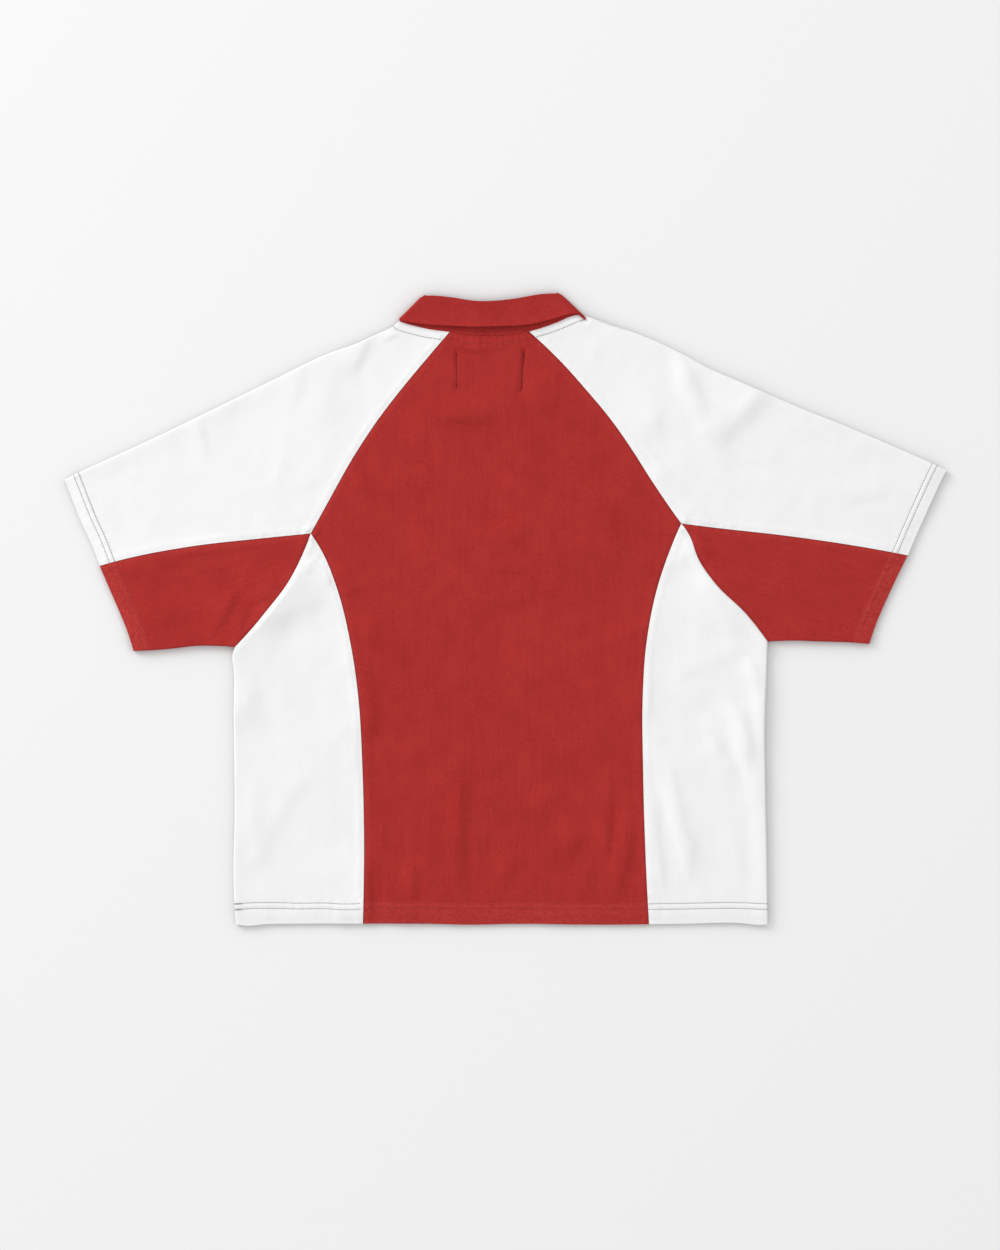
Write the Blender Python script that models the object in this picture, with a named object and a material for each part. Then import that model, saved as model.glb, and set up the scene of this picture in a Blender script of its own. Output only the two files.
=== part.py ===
# A short-sleeved raglan polo shirt, laid flat on its front with its back up.
#
# Metres, +Z up.  +X is to the right seen from above, +Y towards the collar, and the
# cloth rests on z = 0.  Each panel is a thin wall through sections worked out from the
# seam and fold lines below.  Neighbours share the points of their seam and stand a
# seam gap apart.  Panels at the sides wrap round their fold from the back layer to
# the front layer underneath.

import bmesh
import bpy
import numpy as np

# ---------------------------------------------------------------- driving sizes

CLOTH = 0.0012               # wall of the jersey panels
RIB = 0.0014                 # wall of the rib-knit collar
SEAM_GAP = 0.0003            # air between two pieces that are sewn together
LAYER_GAP = 0.0003           # air between two layers that lie on each other

BACK_RISE = 0.0034           # underside of the back layer above the table
EDGE_PLUMP = 0.0014          # extra rise where the cloth turns over at a fold
EDGE_WIDTH = 0.014           # how far that rise reaches in from the fold
NECK_RISE = 0.0003           # extra rise of the back layer round the neck
PLACKET_RISE = 0.0020        # extra rise of the back layer over the placket

COLLAR_AXIS = 0.0033         # height of the collar's side creases
STAND_REACH = 0.0009         # from that crease's axis to the middle of the stand
STAND_LENGTH = 0.038         # neck seam to fold line
COLLAR_POINT = 0.073         # fold line to collar point
POINT_SPREAD = 24.0          # degrees that a collar point turns outwards
CORNER_TAPER = 0.006         # below the fold line, where a side crease narrows
CORNER_NARROW = 0.5          # by this share of its reach, at the fold line

BUTTON_RADIUS = 0.0055
BUTTON_HEIGHT = 0.0016
BUTTON_RIM = 0.0005
BUTTON_DROP = (0.020, 0.059, 0.098)      # below the front neckline
PLACKET_WIDTH = 0.032
NOTCH_WIDTH = 0.024          # opening in the front panel behind the placket
PLACKET_BED = 0.042          # level part of the front panel, with the opening in its middle
PLACKET_ROWS = 9             # rows of the front panel that the opening takes
PLACKET_TAIL = 0.004         # strip below the end of the opening

# Cells of the panels, from seam to seam.
RAGLAN_ROWS = 11             # neck to underarm point
SIDE_ROWS = 16               # underarm point to hem
SLEEVE_ROWS = 10             # underarm point to cuff
SLEEVE_CELLS = 7             # across one layer of an upper sleeve
ARMHOLE_CELLS = 7            # across one layer of a side panel or lower sleeve
BACK_CELLS = 16              # across the back panel
FRONT_CELLS = 5              # across the front panel, each side of the placket's bed
FOLD_CELLS = 5               # round a fold

RED = (0.42, 0.035, 0.032, 1.0)
WHITE = (0.86, 0.86, 0.86, 1.0)
HORN = (0.55, 0.07, 0.06, 1.0)

# ---------------------------------------------------------------- plan tables
# Rows are (x, y) along the line named, each read from the neck or body outwards.

NECK_LEFT = (-0.1176, 0.3215)            # where the neck seam meets each side crease
NECK_RIGHT = (0.0880, 0.3262)
CREASE_LEFT = (-0.0897, 0.3497)          # top of each side crease of the collar
CREASE_RIGHT = (0.0577, 0.3523)
CREASE_OUT_LEFT = (-0.70, 0.714)         # level direction in which that crease points
CREASE_OUT_RIGHT = (0.70, 0.714)
UNDERARM_LEFT = (-0.2178, 0.0844)        # where the four panels meet
UNDERARM_RIGHT = (0.1966, 0.0956)

LEFT = {
    "neck_back": [NECK_LEFT, (-0.0931, 0.3147), (-0.0625, 0.3100)],
    "neck_front": [NECK_LEFT, (-0.1040, 0.2900), (-0.0900, 0.2620)],
    "raglan_back": [(-0.0625, 0.3100), (-0.0890, 0.2790), (-0.1170, 0.2453), (-0.1428, 0.2117),
                    (-0.1652, 0.1781), (-0.2033, 0.1109), UNDERARM_LEFT],
    "raglan_front": [(-0.0900, 0.2620), (-0.1330, 0.2100), (-0.1700, 0.1600), UNDERARM_LEFT],
    "side_seam": [UNDERARM_LEFT, (-0.2033, 0.0605), (-0.1898, 0.0269), (-0.1730, -0.0403),
                  (-0.1650, -0.0950), (-0.1600, -0.1800), (-0.1596, -0.3522)],
    "sleeve_seam": [UNDERARM_LEFT, (-0.2750, 0.0788), (-0.3575, 0.0691), (-0.4318, 0.0544),
                    (-0.4542, 0.0482)],
    "armhole": [UNDERARM_LEFT, (-0.2298, 0.0549), (-0.2440, 0.0280), (-0.2644, 0.0010),
                (-0.2888, -0.0280), (-0.3025, -0.0426)],
    "shoulder_fold": [(-0.1187, 0.3226), (-0.1277, 0.3150), (-0.1406, 0.3091), (-0.1674, 0.2968),
                      (-0.1988, 0.2856), (-0.2526, 0.2600), (-0.3030, 0.2352), (-0.4038, 0.1865),
                      (-0.4542, 0.1635), (-0.4878, 0.1478), (-0.4934, 0.1447)],
    "under_fold": [(-0.3025, -0.0426), (-0.3265, -0.0412), (-0.3481, -0.0414),
                   (-0.3735, -0.0444), (-0.4161, -0.0470)],
    "side_fold": [(-0.3025, -0.0426), (-0.3055, -0.0520), (-0.3041, -0.0683), (-0.3041, -0.1243),
                  (-0.3030, -0.2250), (-0.3041, -0.3147), (-0.3018, -0.3528)],
    "cuff_upper": [(-0.4542, 0.0482), (-0.4651, 0.0762), (-0.4739, 0.0952), (-0.4833, 0.1187),
                   (-0.4934, 0.1447)],
    "cuff_lower": [(-0.4542, 0.0482), (-0.4441, 0.0246), (-0.4329, -0.0011), (-0.4235, -0.0240),
                   (-0.4161, -0.0470)],
    "hem": [(-0.1596, -0.3522), (-0.2302, -0.3522), (-0.2694, -0.3528), (-0.2895, -0.3545),
            (-0.3018, -0.3528)],
}

RIGHT = {
    "neck_back": [NECK_RIGHT, (0.0815, 0.3288), (0.0735, 0.3273), (0.0590, 0.3212),
                  (0.0265, 0.3102)],
    "neck_front": [NECK_RIGHT, (0.0750, 0.2900), (0.0580, 0.2625)],
    "raglan_back": [(0.0265, 0.3102), (0.0599, 0.2789), (0.0902, 0.2453), (0.1182, 0.2117),
                    (0.1417, 0.1781), (0.1630, 0.1445), UNDERARM_RIGHT],
    "raglan_front": [(0.0580, 0.2625), (0.1020, 0.2080), (0.1450, 0.1560), UNDERARM_RIGHT],
    "side_seam": [UNDERARM_RIGHT, (0.1820, 0.0605), (0.1708, 0.0269), (0.1574, -0.0403),
                  (0.1538, -0.0900), (0.1540, -0.1800), (0.1607, -0.3528)],
    "sleeve_seam": [UNDERARM_RIGHT, (0.2321, 0.0912), (0.3223, 0.0809), (0.4010, 0.0691),
                    (0.4502, 0.0600)],
    "armhole": [UNDERARM_RIGHT, (0.2050, 0.0838), (0.2158, 0.0559), (0.2348, 0.0281),
                (0.2700, -0.0065), (0.2931, -0.0364)],
    "shoulder_fold": [(0.0902, 0.3242), (0.0984, 0.3228), (0.1130, 0.3190), (0.1383, 0.3114),
                      (0.1618, 0.3024), (0.1977, 0.2856), (0.2290, 0.2688), (0.2626, 0.2542),
                      (0.3298, 0.2251), (0.3802, 0.2050), (0.4306, 0.1837), (0.4934, 0.1557)],
    "under_fold": [(0.2931, -0.0364), (0.3175, -0.0354), (0.3567, -0.0365), (0.3847, -0.0373),
                   (0.4071, -0.0392)],
    "side_fold": [(0.2931, -0.0364), (0.2929, -0.0482), (0.2918, -0.0795), (0.2901, -0.1355),
                  (0.2906, -0.1915), (0.2925, -0.2850), (0.2934, -0.3528)],
    "cuff_upper": [(0.4502, 0.0600), (0.4654, 0.0952), (0.4795, 0.1266), (0.4889, 0.1467),
                   (0.4934, 0.1557)],
    "cuff_lower": [(0.4502, 0.0600), (0.4370, 0.0336), (0.4262, 0.0101), (0.4166, -0.0119),
                   (0.4071, -0.0392)],
    "hem": [(0.1607, -0.3528), (0.2022, -0.3522), (0.2626, -0.3515), (0.2828, -0.3534),
            (0.2934, -0.3528)],
}

NECK_BACK = [(-0.0625, 0.3100), (-0.0398, 0.3067), (-0.0162, 0.3058), (0.0050, 0.3069),
             (0.0265, 0.3102)]
HEM_BACK = [(-0.1596, -0.3522), (-0.0823, -0.3522), (-0.0465, -0.3532), (0.0207, -0.3522),
            (0.0879, -0.3532), (0.1607, -0.3528)]
COLLAR_TOP_BACK = [CREASE_LEFT, (-0.0731, 0.3487), (-0.0600, 0.3470), (-0.0301, 0.3429),
                   (-0.0130, 0.3432), (0.0127, 0.3460), (0.0274, 0.3487), (0.0412, 0.3510),
                   CREASE_RIGHT]
COLLAR_TOP_FRONT_LEFT = [CREASE_LEFT, (-0.0760, 0.3180), (-0.0580, 0.2930), (-0.0400, 0.2760),
                         (-0.0170, 0.2680)]
COLLAR_TOP_FRONT_RIGHT = [CREASE_RIGHT, (0.0470, 0.3190), (0.0280, 0.2935), (0.0100, 0.2765),
                          (-0.0140, 0.2680)]
NECK_FRONT_LEFT = [(-0.0900, 0.2620), (-0.0640, 0.2415), (-0.0367, 0.2310)]
NECK_FRONT_RIGHT = [(0.0580, 0.2625), (0.0325, 0.2420), (0.0053, 0.2310)]
PLACKET_TOP = (-0.0157, 0.2297)          # middle of the front neckline
PLACKET_FOOT = (-0.0129, 0.0960)
COLLAR_END_GAP = 0.0015                  # from that middle to each front end of the collar

# Length of the collar's fall over the back as a share of the stand's, along the neck.
FALL_SHARE = [  # (place from left crease 0 to right crease 1, share)
    (0.00, 0.97), (0.25, 0.81), (0.50, 0.715), (0.75, 0.80), (1.00, 0.97)]

# The largest folds of the back layer: a soft ridge along a line, with one steep side.
FOLDS = [  # (from x, from y, to x, to y, height, width on its left, width on its right)
    (-0.1538, 0.3092, -0.1738, 0.2634, 0.0024, 0.012, 0.020),    # left sleeve, near the neck
    (-0.1902, 0.3008, -0.2068, 0.1997, 0.0021, 0.020, 0.034),    # left sleeve, below the shoulder
    (-0.3461, 0.2161, -0.3318, 0.1689, 0.0014, 0.012, 0.016),    # left sleeve, towards the cuff
    (0.2952, 0.2542, 0.2315, 0.1874, 0.0032, 0.014, 0.028),      # right sleeve, long crease
    (0.1880, 0.2966, 0.2397, 0.1687, 0.0024, 0.024, 0.012),      # right sleeve, beside it
    (0.1596, 0.2334, 0.1726, 0.1916, 0.0018, 0.012, 0.027),      # right sleeve, by the seam
    (0.1975, 0.1255, 0.2334, 0.0940, 0.0018, 0.012, 0.018),      # right sleeve, above the underarm
    (-0.2295, 0.0468, -0.2924, -0.0328, 0.0030, 0.015, 0.034),   # left side, under the armhole
    (-0.2038, 0.0164, -0.2762, -0.0212, 0.0022, 0.014, 0.031),   # left side, below that
    (-0.2929, -0.0795, -0.2800, -0.1268, 0.0024, 0.014, 0.027),  # left side, at the edge
    (-0.1903, -0.1424, -0.2950, -0.3122, 0.0018, 0.014, 0.028),  # left side, slanting
    (0.2056, 0.0597, 0.2650, -0.0370, 0.0028, 0.027, 0.014),     # right side, under the armhole
    (0.2688, -0.0445, 0.2904, -0.1750, 0.0020, 0.020, 0.012),    # right side, at the edge
    (0.2387, -0.0967, 0.2747, -0.1830, 0.0024, 0.012, 0.018),    # right side, upright
    (0.2510, -0.0948, 0.2853, -0.2458, 0.0022, 0.020, 0.012),    # right side, beside it
    (0.1740, -0.1890, 0.2119, -0.3114, 0.0024, 0.020, 0.014),    # right side, near the hem
    (0.1619, -0.1897, 0.1785, -0.3365, 0.0022, 0.012, 0.018),    # right side, by the seam
    (-0.2986, 0.0319, -0.3389, -0.0378, 0.0026, 0.012, 0.020),   # left lower sleeve
    (0.2168, 0.0480, 0.2935, -0.0419, 0.0026, 0.017, 0.034),     # right lower sleeve, by the armhole
    (-0.0896, 0.2153, -0.0019, 0.2118, 0.0020, 0.016, 0.012),    # across the upper back
    (0.1419, 0.1409, 0.0861, 0.0782, 0.0020, 0.020, 0.034),      # middle of the back, right
    (-0.1586, -0.0824, -0.1561, -0.1455, 0.0024, 0.012, 0.022),  # middle of the back, left
    (-0.0543, -0.1399, -0.0438, -0.3430, 0.0022, 0.014, 0.020),  # lower back, upright
    (0.1110, -0.1691, 0.1062, -0.3010, 0.0022, 0.014, 0.020),    # lower back, right
    (0.1382, -0.2202, 0.1189, -0.3347, 0.0022, 0.014, 0.018),    # lower back, beside it
]

# ---------------------------------------------------------------- lines


def smooth_line(rows, steps=16):
    """Cubic through the rows: each span bends with the slopes at its two ends."""
    points = np.array(rows, dtype=float)
    spans = np.linalg.norm(np.diff(points, axis=0), axis=1)
    along = np.concatenate([[0.0], np.cumsum(spans)])
    order = 2 if len(points) > 2 else 1
    slope = np.gradient(points, along, axis=0, edge_order=order)
    share = np.linspace(0.0, 1.0, steps, endpoint=False)[None, :, None]
    start, end = points[:-1, None], points[1:, None]
    pull_start = slope[:-1, None] * spans[:, None, None]
    pull_end = slope[1:, None] * spans[:, None, None]
    bent = (start * (2 * share**3 - 3 * share**2 + 1) + end * (3 * share**2 - 2 * share**3)
            + pull_start * (share**3 - 2 * share**2 + share) + pull_end * (share**3 - share**2))
    return np.vstack([bent.reshape(-1, points.shape[1]), points[-1:]])


def evenly(line, cells, trim=0.0):
    """Points at equal steps along a line, which stops `trim` short of its end."""
    along = np.concatenate([[0.0], np.cumsum(np.linalg.norm(np.diff(line, axis=0), axis=1))])
    stops = np.linspace(0.0, along[-1] - trim, cells + 1)
    return np.column_stack([np.interp(stops, along, line[:, axis]) for axis in range(2)])


def split_evenly(line, share, first_cells, last_cells):
    """Points at equal steps up to a share of the line's length, then to its end."""
    along = np.concatenate([[0.0], np.cumsum(np.linalg.norm(np.diff(line, axis=0), axis=1))])
    middle = share * along[-1]
    stops = np.concatenate([np.linspace(0.0, middle, first_cells + 1),
                            np.linspace(middle, along[-1], last_cells + 1)[1:]])
    return np.column_stack([np.interp(stops, along, line[:, axis]) for axis in range(2)])


def unit(vectors):
    return vectors / np.linalg.norm(vectors, axis=-1, keepdims=True)


def line_distance(points, line):
    """Level distance of each point from a line of straight pieces."""
    start, step = line[:-1], np.diff(line, axis=0)
    offset = points[..., None, :] - start
    share = np.sum(offset * step, axis=-1) / np.sum(step * step, axis=-1)
    nearest = offset - np.clip(share, 0.0, 1.0)[..., None] * step
    return np.min(np.linalg.norm(nearest, axis=-1), axis=-1)


def plateau(distance, flat, fade):
    """1 up to `flat`, 0 from `fade` on, and a smooth slope between them."""
    share = np.clip((fade - distance) / (fade - flat), 0.0, 1.0)
    return share * share * (3.0 - 2.0 * share)


# ---------------------------------------------------------------- heights

FOLD_LINES = [smooth_line(side[name]) for side in (LEFT, RIGHT)
              for name in ("shoulder_fold", "under_fold", "side_fold")]
NECK_LINE = np.vstack([smooth_line(LEFT["neck_back"]), smooth_line(NECK_BACK)[1:],
                       smooth_line(RIGHT["neck_back"])[::-1][1:]])
FRONT_NECK_LINE = np.vstack([
    smooth_line(LEFT["neck_front"]), smooth_line(NECK_FRONT_LEFT)[1:],
    smooth_line(NECK_FRONT_RIGHT)[::-1], smooth_line(RIGHT["neck_front"])[::-1][1:]])
PLACKET_LINE = np.array([PLACKET_TOP, PLACKET_FOOT])
LEAF_LIFT = RIB + LAYER_GAP + 0.0001
PLACKET_LIFT = BUTTON_HEIGHT + LAYER_GAP + CLOTH + LAYER_GAP


def front_lift(points):
    """Underside of the front layer: raised over the collar's leaves and the placket."""
    leaf = LEAF_LIFT * plateau(line_distance(points, FRONT_NECK_LINE), 0.045, 0.085)
    strip = PLACKET_LIFT * plateau(line_distance(points, PLACKET_LINE), 0.022, 0.060)
    return np.maximum(leaf, strip)


def fold_ridge(points, start, end, left, right):
    """1 on a fold's line, less across it and towards its ends.

    It follows half a sine along the line and a bell curve across, with a width on each side."""
    step, offset = end - start, points - start
    length = np.linalg.norm(step)
    share = np.clip(np.sum(offset * step, axis=-1) / length**2, 0.0, 1.0)
    across = (step[0] * offset[..., 1] - step[1] * offset[..., 0]) / length
    width = np.where(across > 0.0, left, right)
    return np.sin(np.pi * share)**0.6 * np.exp(-(across / width)**2)


def back_rise(points):
    """Underside of the back layer, with its plump fold edges and its largest folds."""
    neck = line_distance(points, NECK_LINE)
    rise = BACK_RISE + NECK_RISE * plateau(neck, 0.008, 0.060)
    rise = rise + PLACKET_RISE * plateau(line_distance(points, PLACKET_LINE), 0.048, 0.130)
    edge = np.min([line_distance(points, line) for line in FOLD_LINES], axis=0)
    rise = rise + EDGE_PLUMP * np.exp(-(edge / EDGE_WIDTH)**2) * (1.0 - plateau(neck, 0.004, 0.050))
    folds = np.zeros(rise.shape)
    for x0, y0, x1, y1, height, left, right in FOLDS:
        folds += height * fold_ridge(points, np.array((x0, y0)), np.array((x1, y1)), left, right)
    return rise + folds * (1.0 - plateau(neck, 0.001, 0.012))


# ---------------------------------------------------------------- walls


def grid_between(first_row, last_row, first_column, last_column, across=None):
    """Plan grid inside four lines: each inner point is blended from all four."""
    rows, columns = len(first_column), len(first_row)
    u = np.linspace(0.0, 1.0, columns) if across is None else across
    u = u[None, :, None]
    v = np.linspace(0.0, 1.0, rows)[:, None, None]
    ruled_down = (1 - v) * first_row[None] + v * last_row[None]
    ruled_across = (1 - u) * first_column[:, None] + u * last_column[:, None]
    corners = ((1 - v) * ((1 - u) * first_row[0] + u * first_row[-1])
               + v * ((1 - u) * last_row[0] + u * last_row[-1]))
    return ruled_down + ruled_across - corners


def inset_border(outer, inner):
    """Draws each border of a wall half a seam gap inwards, square to the border."""
    middle = (outer + inner) / 2.0
    moves = np.zeros_like(middle)
    for flip in (False, True):
        for border, inside in ((0, 1), (-1, -2)):
            grid = np.swapaxes(middle, 0, 1) if flip else middle
            tangent = unit(np.gradient(grid[border], axis=0))
            inward = grid[inside] - grid[border]
            inward = unit(inward - np.sum(inward * tangent, axis=-1, keepdims=True) * tangent)
            target = np.swapaxes(moves, 0, 1) if flip else moves
            target[border] += inward * SEAM_GAP / 2.0
    moves[..., 2] = 0.0
    return outer + moves, inner + moves


def add_wall(name, outer, inner, material, keep=None):
    """Closed wall between two grids of points.  Cells outside `keep` are left open."""
    rows, columns = outer.shape[0] - 1, outer.shape[1] - 1
    keep = np.ones((rows, columns), dtype=bool) if keep is None else keep
    body = bmesh.new()
    skins = [{}, {}]

    def vertex(skin, place):
        if place not in skins[skin]:
            grid = inner if skin else outer
            skins[skin][place] = body.verts.new([float(value) for value in grid[place]])
        return skins[skin][place]

    for i, j in zip(*np.nonzero(keep)):
        ring = [(i, j), (i, j + 1), (i + 1, j + 1), (i + 1, j)]
        for skin in (0, 1):
            a, b, c, d = (vertex(skin, place) for place in ring)
            body.faces.new((a, b, c) if skin == 0 else (c, b, a))
            body.faces.new((a, c, d) if skin == 0 else (d, c, a))
        beside = [(i - 1, j), (i, j + 1), (i + 1, j), (i, j - 1)]
        for side, (ni, nj) in enumerate(beside):
            if 0 <= ni < rows and 0 <= nj < columns and keep[ni, nj]:
                continue
            start, end = ring[side], ring[(side + 1) % 4]
            body.faces.new((vertex(0, end), vertex(0, start), vertex(1, start)))
            body.faces.new((vertex(0, end), vertex(1, start), vertex(1, end)))
    return add_object(name, body, material)


def add_object(name, body, material):
    bmesh.ops.recalc_face_normals(body, faces=body.faces)
    mesh = bpy.data.meshes.new(name)
    body.to_mesh(mesh)
    body.free()
    mesh.shade_smooth()
    mesh.set_sharp_from_angle(angle=np.radians(50.0))
    mesh.materials.append(material)
    item = bpy.data.objects.new(name, mesh)
    bpy.context.scene.collection.objects.link(item)
    return item


def level(points, height):
    return np.concatenate([points, height[..., None]], axis=-1)


def add_flat_panel(name, plan, underside, material, keep=None):
    top = level(plan, underside + CLOTH)
    bottom = level(plan, underside)
    top, bottom = inset_border(top, bottom)
    return add_wall(name, top, bottom, material, keep)


def add_wrapped_panel(name, back, front, outward, reach, material):
    """Wall over the back grid, round the fold at its last column, and under the front grid.

    The turn is half an ellipse that stands `reach` out of the fold's inner line."""
    axis = back[:, -1]
    top = back_rise(axis) + CLOTH
    bottom = front_lift(axis)
    middle, half = (top + bottom) / 2.0, (top - bottom) / 2.0
    turn = np.radians(np.linspace(90.0, -90.0, FOLD_CELLS + 1))[1:-1]
    skins = []
    for wall in (0.0, CLOTH):
        over = level(back, back_rise(back) + CLOTH - wall)
        under = level(front, front_lift(front) + wall)
        out = (reach - wall)[:, None, None] * np.cos(turn)[None, :, None] * outward[:, None]
        height = middle[:, None] + (half - wall)[:, None] * np.sin(turn)[None, :]
        skins.append(np.concatenate([over, level(axis[:, None] + out, height), under], axis=1))
    outer, inner = inset_border(*skins)
    return add_wall(name, outer, inner, material)


def fold_axis(line, out_start=None):
    """The fold's inner line, its outward directions and its reach, worked from the edge."""
    tangent = unit(np.gradient(line, axis=0))
    outward = np.column_stack([-tangent[:, 1], tangent[:, 0]])
    centre = np.array([0.0, 0.05])
    if np.sum((line - centre) * outward) < 0.0:
        outward = -outward
    if out_start is not None:
        outward[0] = out_start
        outward[1] = unit(outward[1] + 0.5 * np.array(out_start))
    outward = unit(outward)
    reach = (back_rise(line) + CLOTH - front_lift(line)) / 2.0
    return line - outward * reach[:, None], outward, reach


# ---------------------------------------------------------------- panels


def armhole_points(side):
    """The armhole seam up to the fold's inner line, and the way it points there."""
    line = smooth_line(side["armhole"])
    out = unit(line[-1] - line[-4])
    tip = line[-1:]
    reach = float((back_rise(tip) + CLOTH - front_lift(tip))[0] / 2.0)
    return evenly(line, ARMHOLE_CELLS, reach), out


def add_upper_sleeve(name, side, crease_out, shoulder_share, material):
    fold = split_evenly(smooth_line(side["shoulder_fold"]), shoulder_share, RAGLAN_ROWS, SLEEVE_ROWS)
    axis, outward, reach = fold_axis(fold, crease_out)
    sleeve_seam = evenly(smooth_line(side["sleeve_seam"]), SLEEVE_ROWS)
    cuff = evenly(smooth_line(side["cuff_upper"]), SLEEVE_CELLS, reach[-1])
    layers = []
    for raglan, neck in (("raglan_back", "neck_back"), ("raglan_front", "neck_front")):
        seam = np.vstack([evenly(smooth_line(side[raglan]), RAGLAN_ROWS), sleeve_seam[1:]])
        neckline = evenly(smooth_line(side[neck]), SLEEVE_CELLS)[::-1]
        axis[0], axis[-1] = neckline[-1], cuff[-1]
        layers.append(grid_between(neckline, cuff, seam, axis))
    return add_wrapped_panel(name, layers[0], layers[1][:, ::-1], outward, reach, material)


def add_lower_sleeve(name, side, material):
    armhole, out = armhole_points(side)
    fold = evenly(smooth_line(side["under_fold"]), SLEEVE_ROWS)
    axis, outward, reach = fold_axis(fold, out)
    cuff = evenly(smooth_line(side["cuff_lower"]), ARMHOLE_CELLS, reach[-1])
    seam = evenly(smooth_line(side["sleeve_seam"]), SLEEVE_ROWS)
    axis[0], axis[-1] = armhole[-1], cuff[-1]
    plan = grid_between(armhole, cuff, seam, axis)
    return add_wrapped_panel(name, plan, plan[:, ::-1], outward, reach, material)


def add_side_panel(name, side, material):
    armhole, out = armhole_points(side)
    fold = evenly(smooth_line(side["side_fold"]), SIDE_ROWS)
    axis, outward, reach = fold_axis(fold, out)
    hem = evenly(smooth_line(side["hem"]), ARMHOLE_CELLS, reach[-1])
    seam = evenly(smooth_line(side["side_seam"]), SIDE_ROWS)
    axis[0], axis[-1] = armhole[-1], hem[-1]
    plan = grid_between(armhole, hem, seam, axis)
    return add_wrapped_panel(name, plan, plan[:, ::-1], outward, reach, material)


def body_edge(side, raglan):
    return np.vstack([evenly(smooth_line(side[raglan]), RAGLAN_ROWS),
                      evenly(smooth_line(side["side_seam"]), SIDE_ROWS)[1:]])


def add_back_panel(material):
    neck = evenly(smooth_line(NECK_BACK), BACK_CELLS)
    hem = evenly(smooth_line(HEM_BACK), BACK_CELLS)
    plan = grid_between(neck, hem, body_edge(LEFT, "raglan_back"), body_edge(RIGHT, "raglan_back"))
    return add_flat_panel("back_panel", plan, back_rise(plan), material)


def front_plan():
    """Plan grid of the front panel, with two columns of cells for the placket's opening."""
    notch = np.array([[-NOTCH_WIDTH / 2.0, 0.0], [0.0, 0.0], [NOTCH_WIDTH / 2.0, 0.0]])
    bed = np.array([PLACKET_BED / 2.0, 0.0])
    middle = (np.array(LEFT["hem"][0]) + np.array(RIGHT["hem"][0])) / 2.0
    neck = np.vstack([evenly(smooth_line(NECK_FRONT_LEFT), FRONT_CELLS), notch + PLACKET_TOP,
                      evenly(smooth_line(NECK_FRONT_RIGHT), FRONT_CELLS)[::-1]])
    hem = np.vstack([np.linspace(LEFT["hem"][0], middle - bed, FRONT_CELLS + 1), notch + middle,
                     np.linspace(middle + bed, RIGHT["hem"][0], FRONT_CELLS + 1)])
    across = np.concatenate([np.linspace(0.0, 0.5, FRONT_CELLS + 1), np.full(3, 0.5),
                             np.linspace(0.5, 1.0, FRONT_CELLS + 1)])
    return grid_between(neck, hem, body_edge(LEFT, "raglan_front"),
                        body_edge(RIGHT, "raglan_front"), across)


def add_front_panel(plan, material):
    keep = np.ones((plan.shape[0] - 1, plan.shape[1] - 1), dtype=bool)
    keep[:PLACKET_ROWS, FRONT_CELLS + 1:FRONT_CELLS + 3] = False
    return add_flat_panel("front_panel", plan, front_lift(plan), material, keep)


# ---------------------------------------------------------------- collar


def collar_turn(rho_stand, rho_fall, fall, stand, skin):
    """One cross-section of the collar: up the stand, over the fold line, down the fall.

    Returns the distance from the fold line and the distance from the crease axis.
    `skin` is half the wall: positive on the side that faces out on the fall."""
    radius = (rho_fall - rho_stand) / 2.0
    up = np.linspace(stand, 0.0, 3)
    bend = np.radians(np.linspace(-90.0, 90.0, 5))[1:-1]
    down = np.linspace(0.0, fall, 4)
    away = np.concatenate([up, -(radius + skin) * np.cos(bend), down])
    rho = np.concatenate([np.full(3, rho_stand - skin),
                          (rho_stand + rho_fall) / 2.0 + (radius + skin) * np.sin(bend),
                          np.full(4, rho_fall + skin)])
    return away, rho


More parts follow.
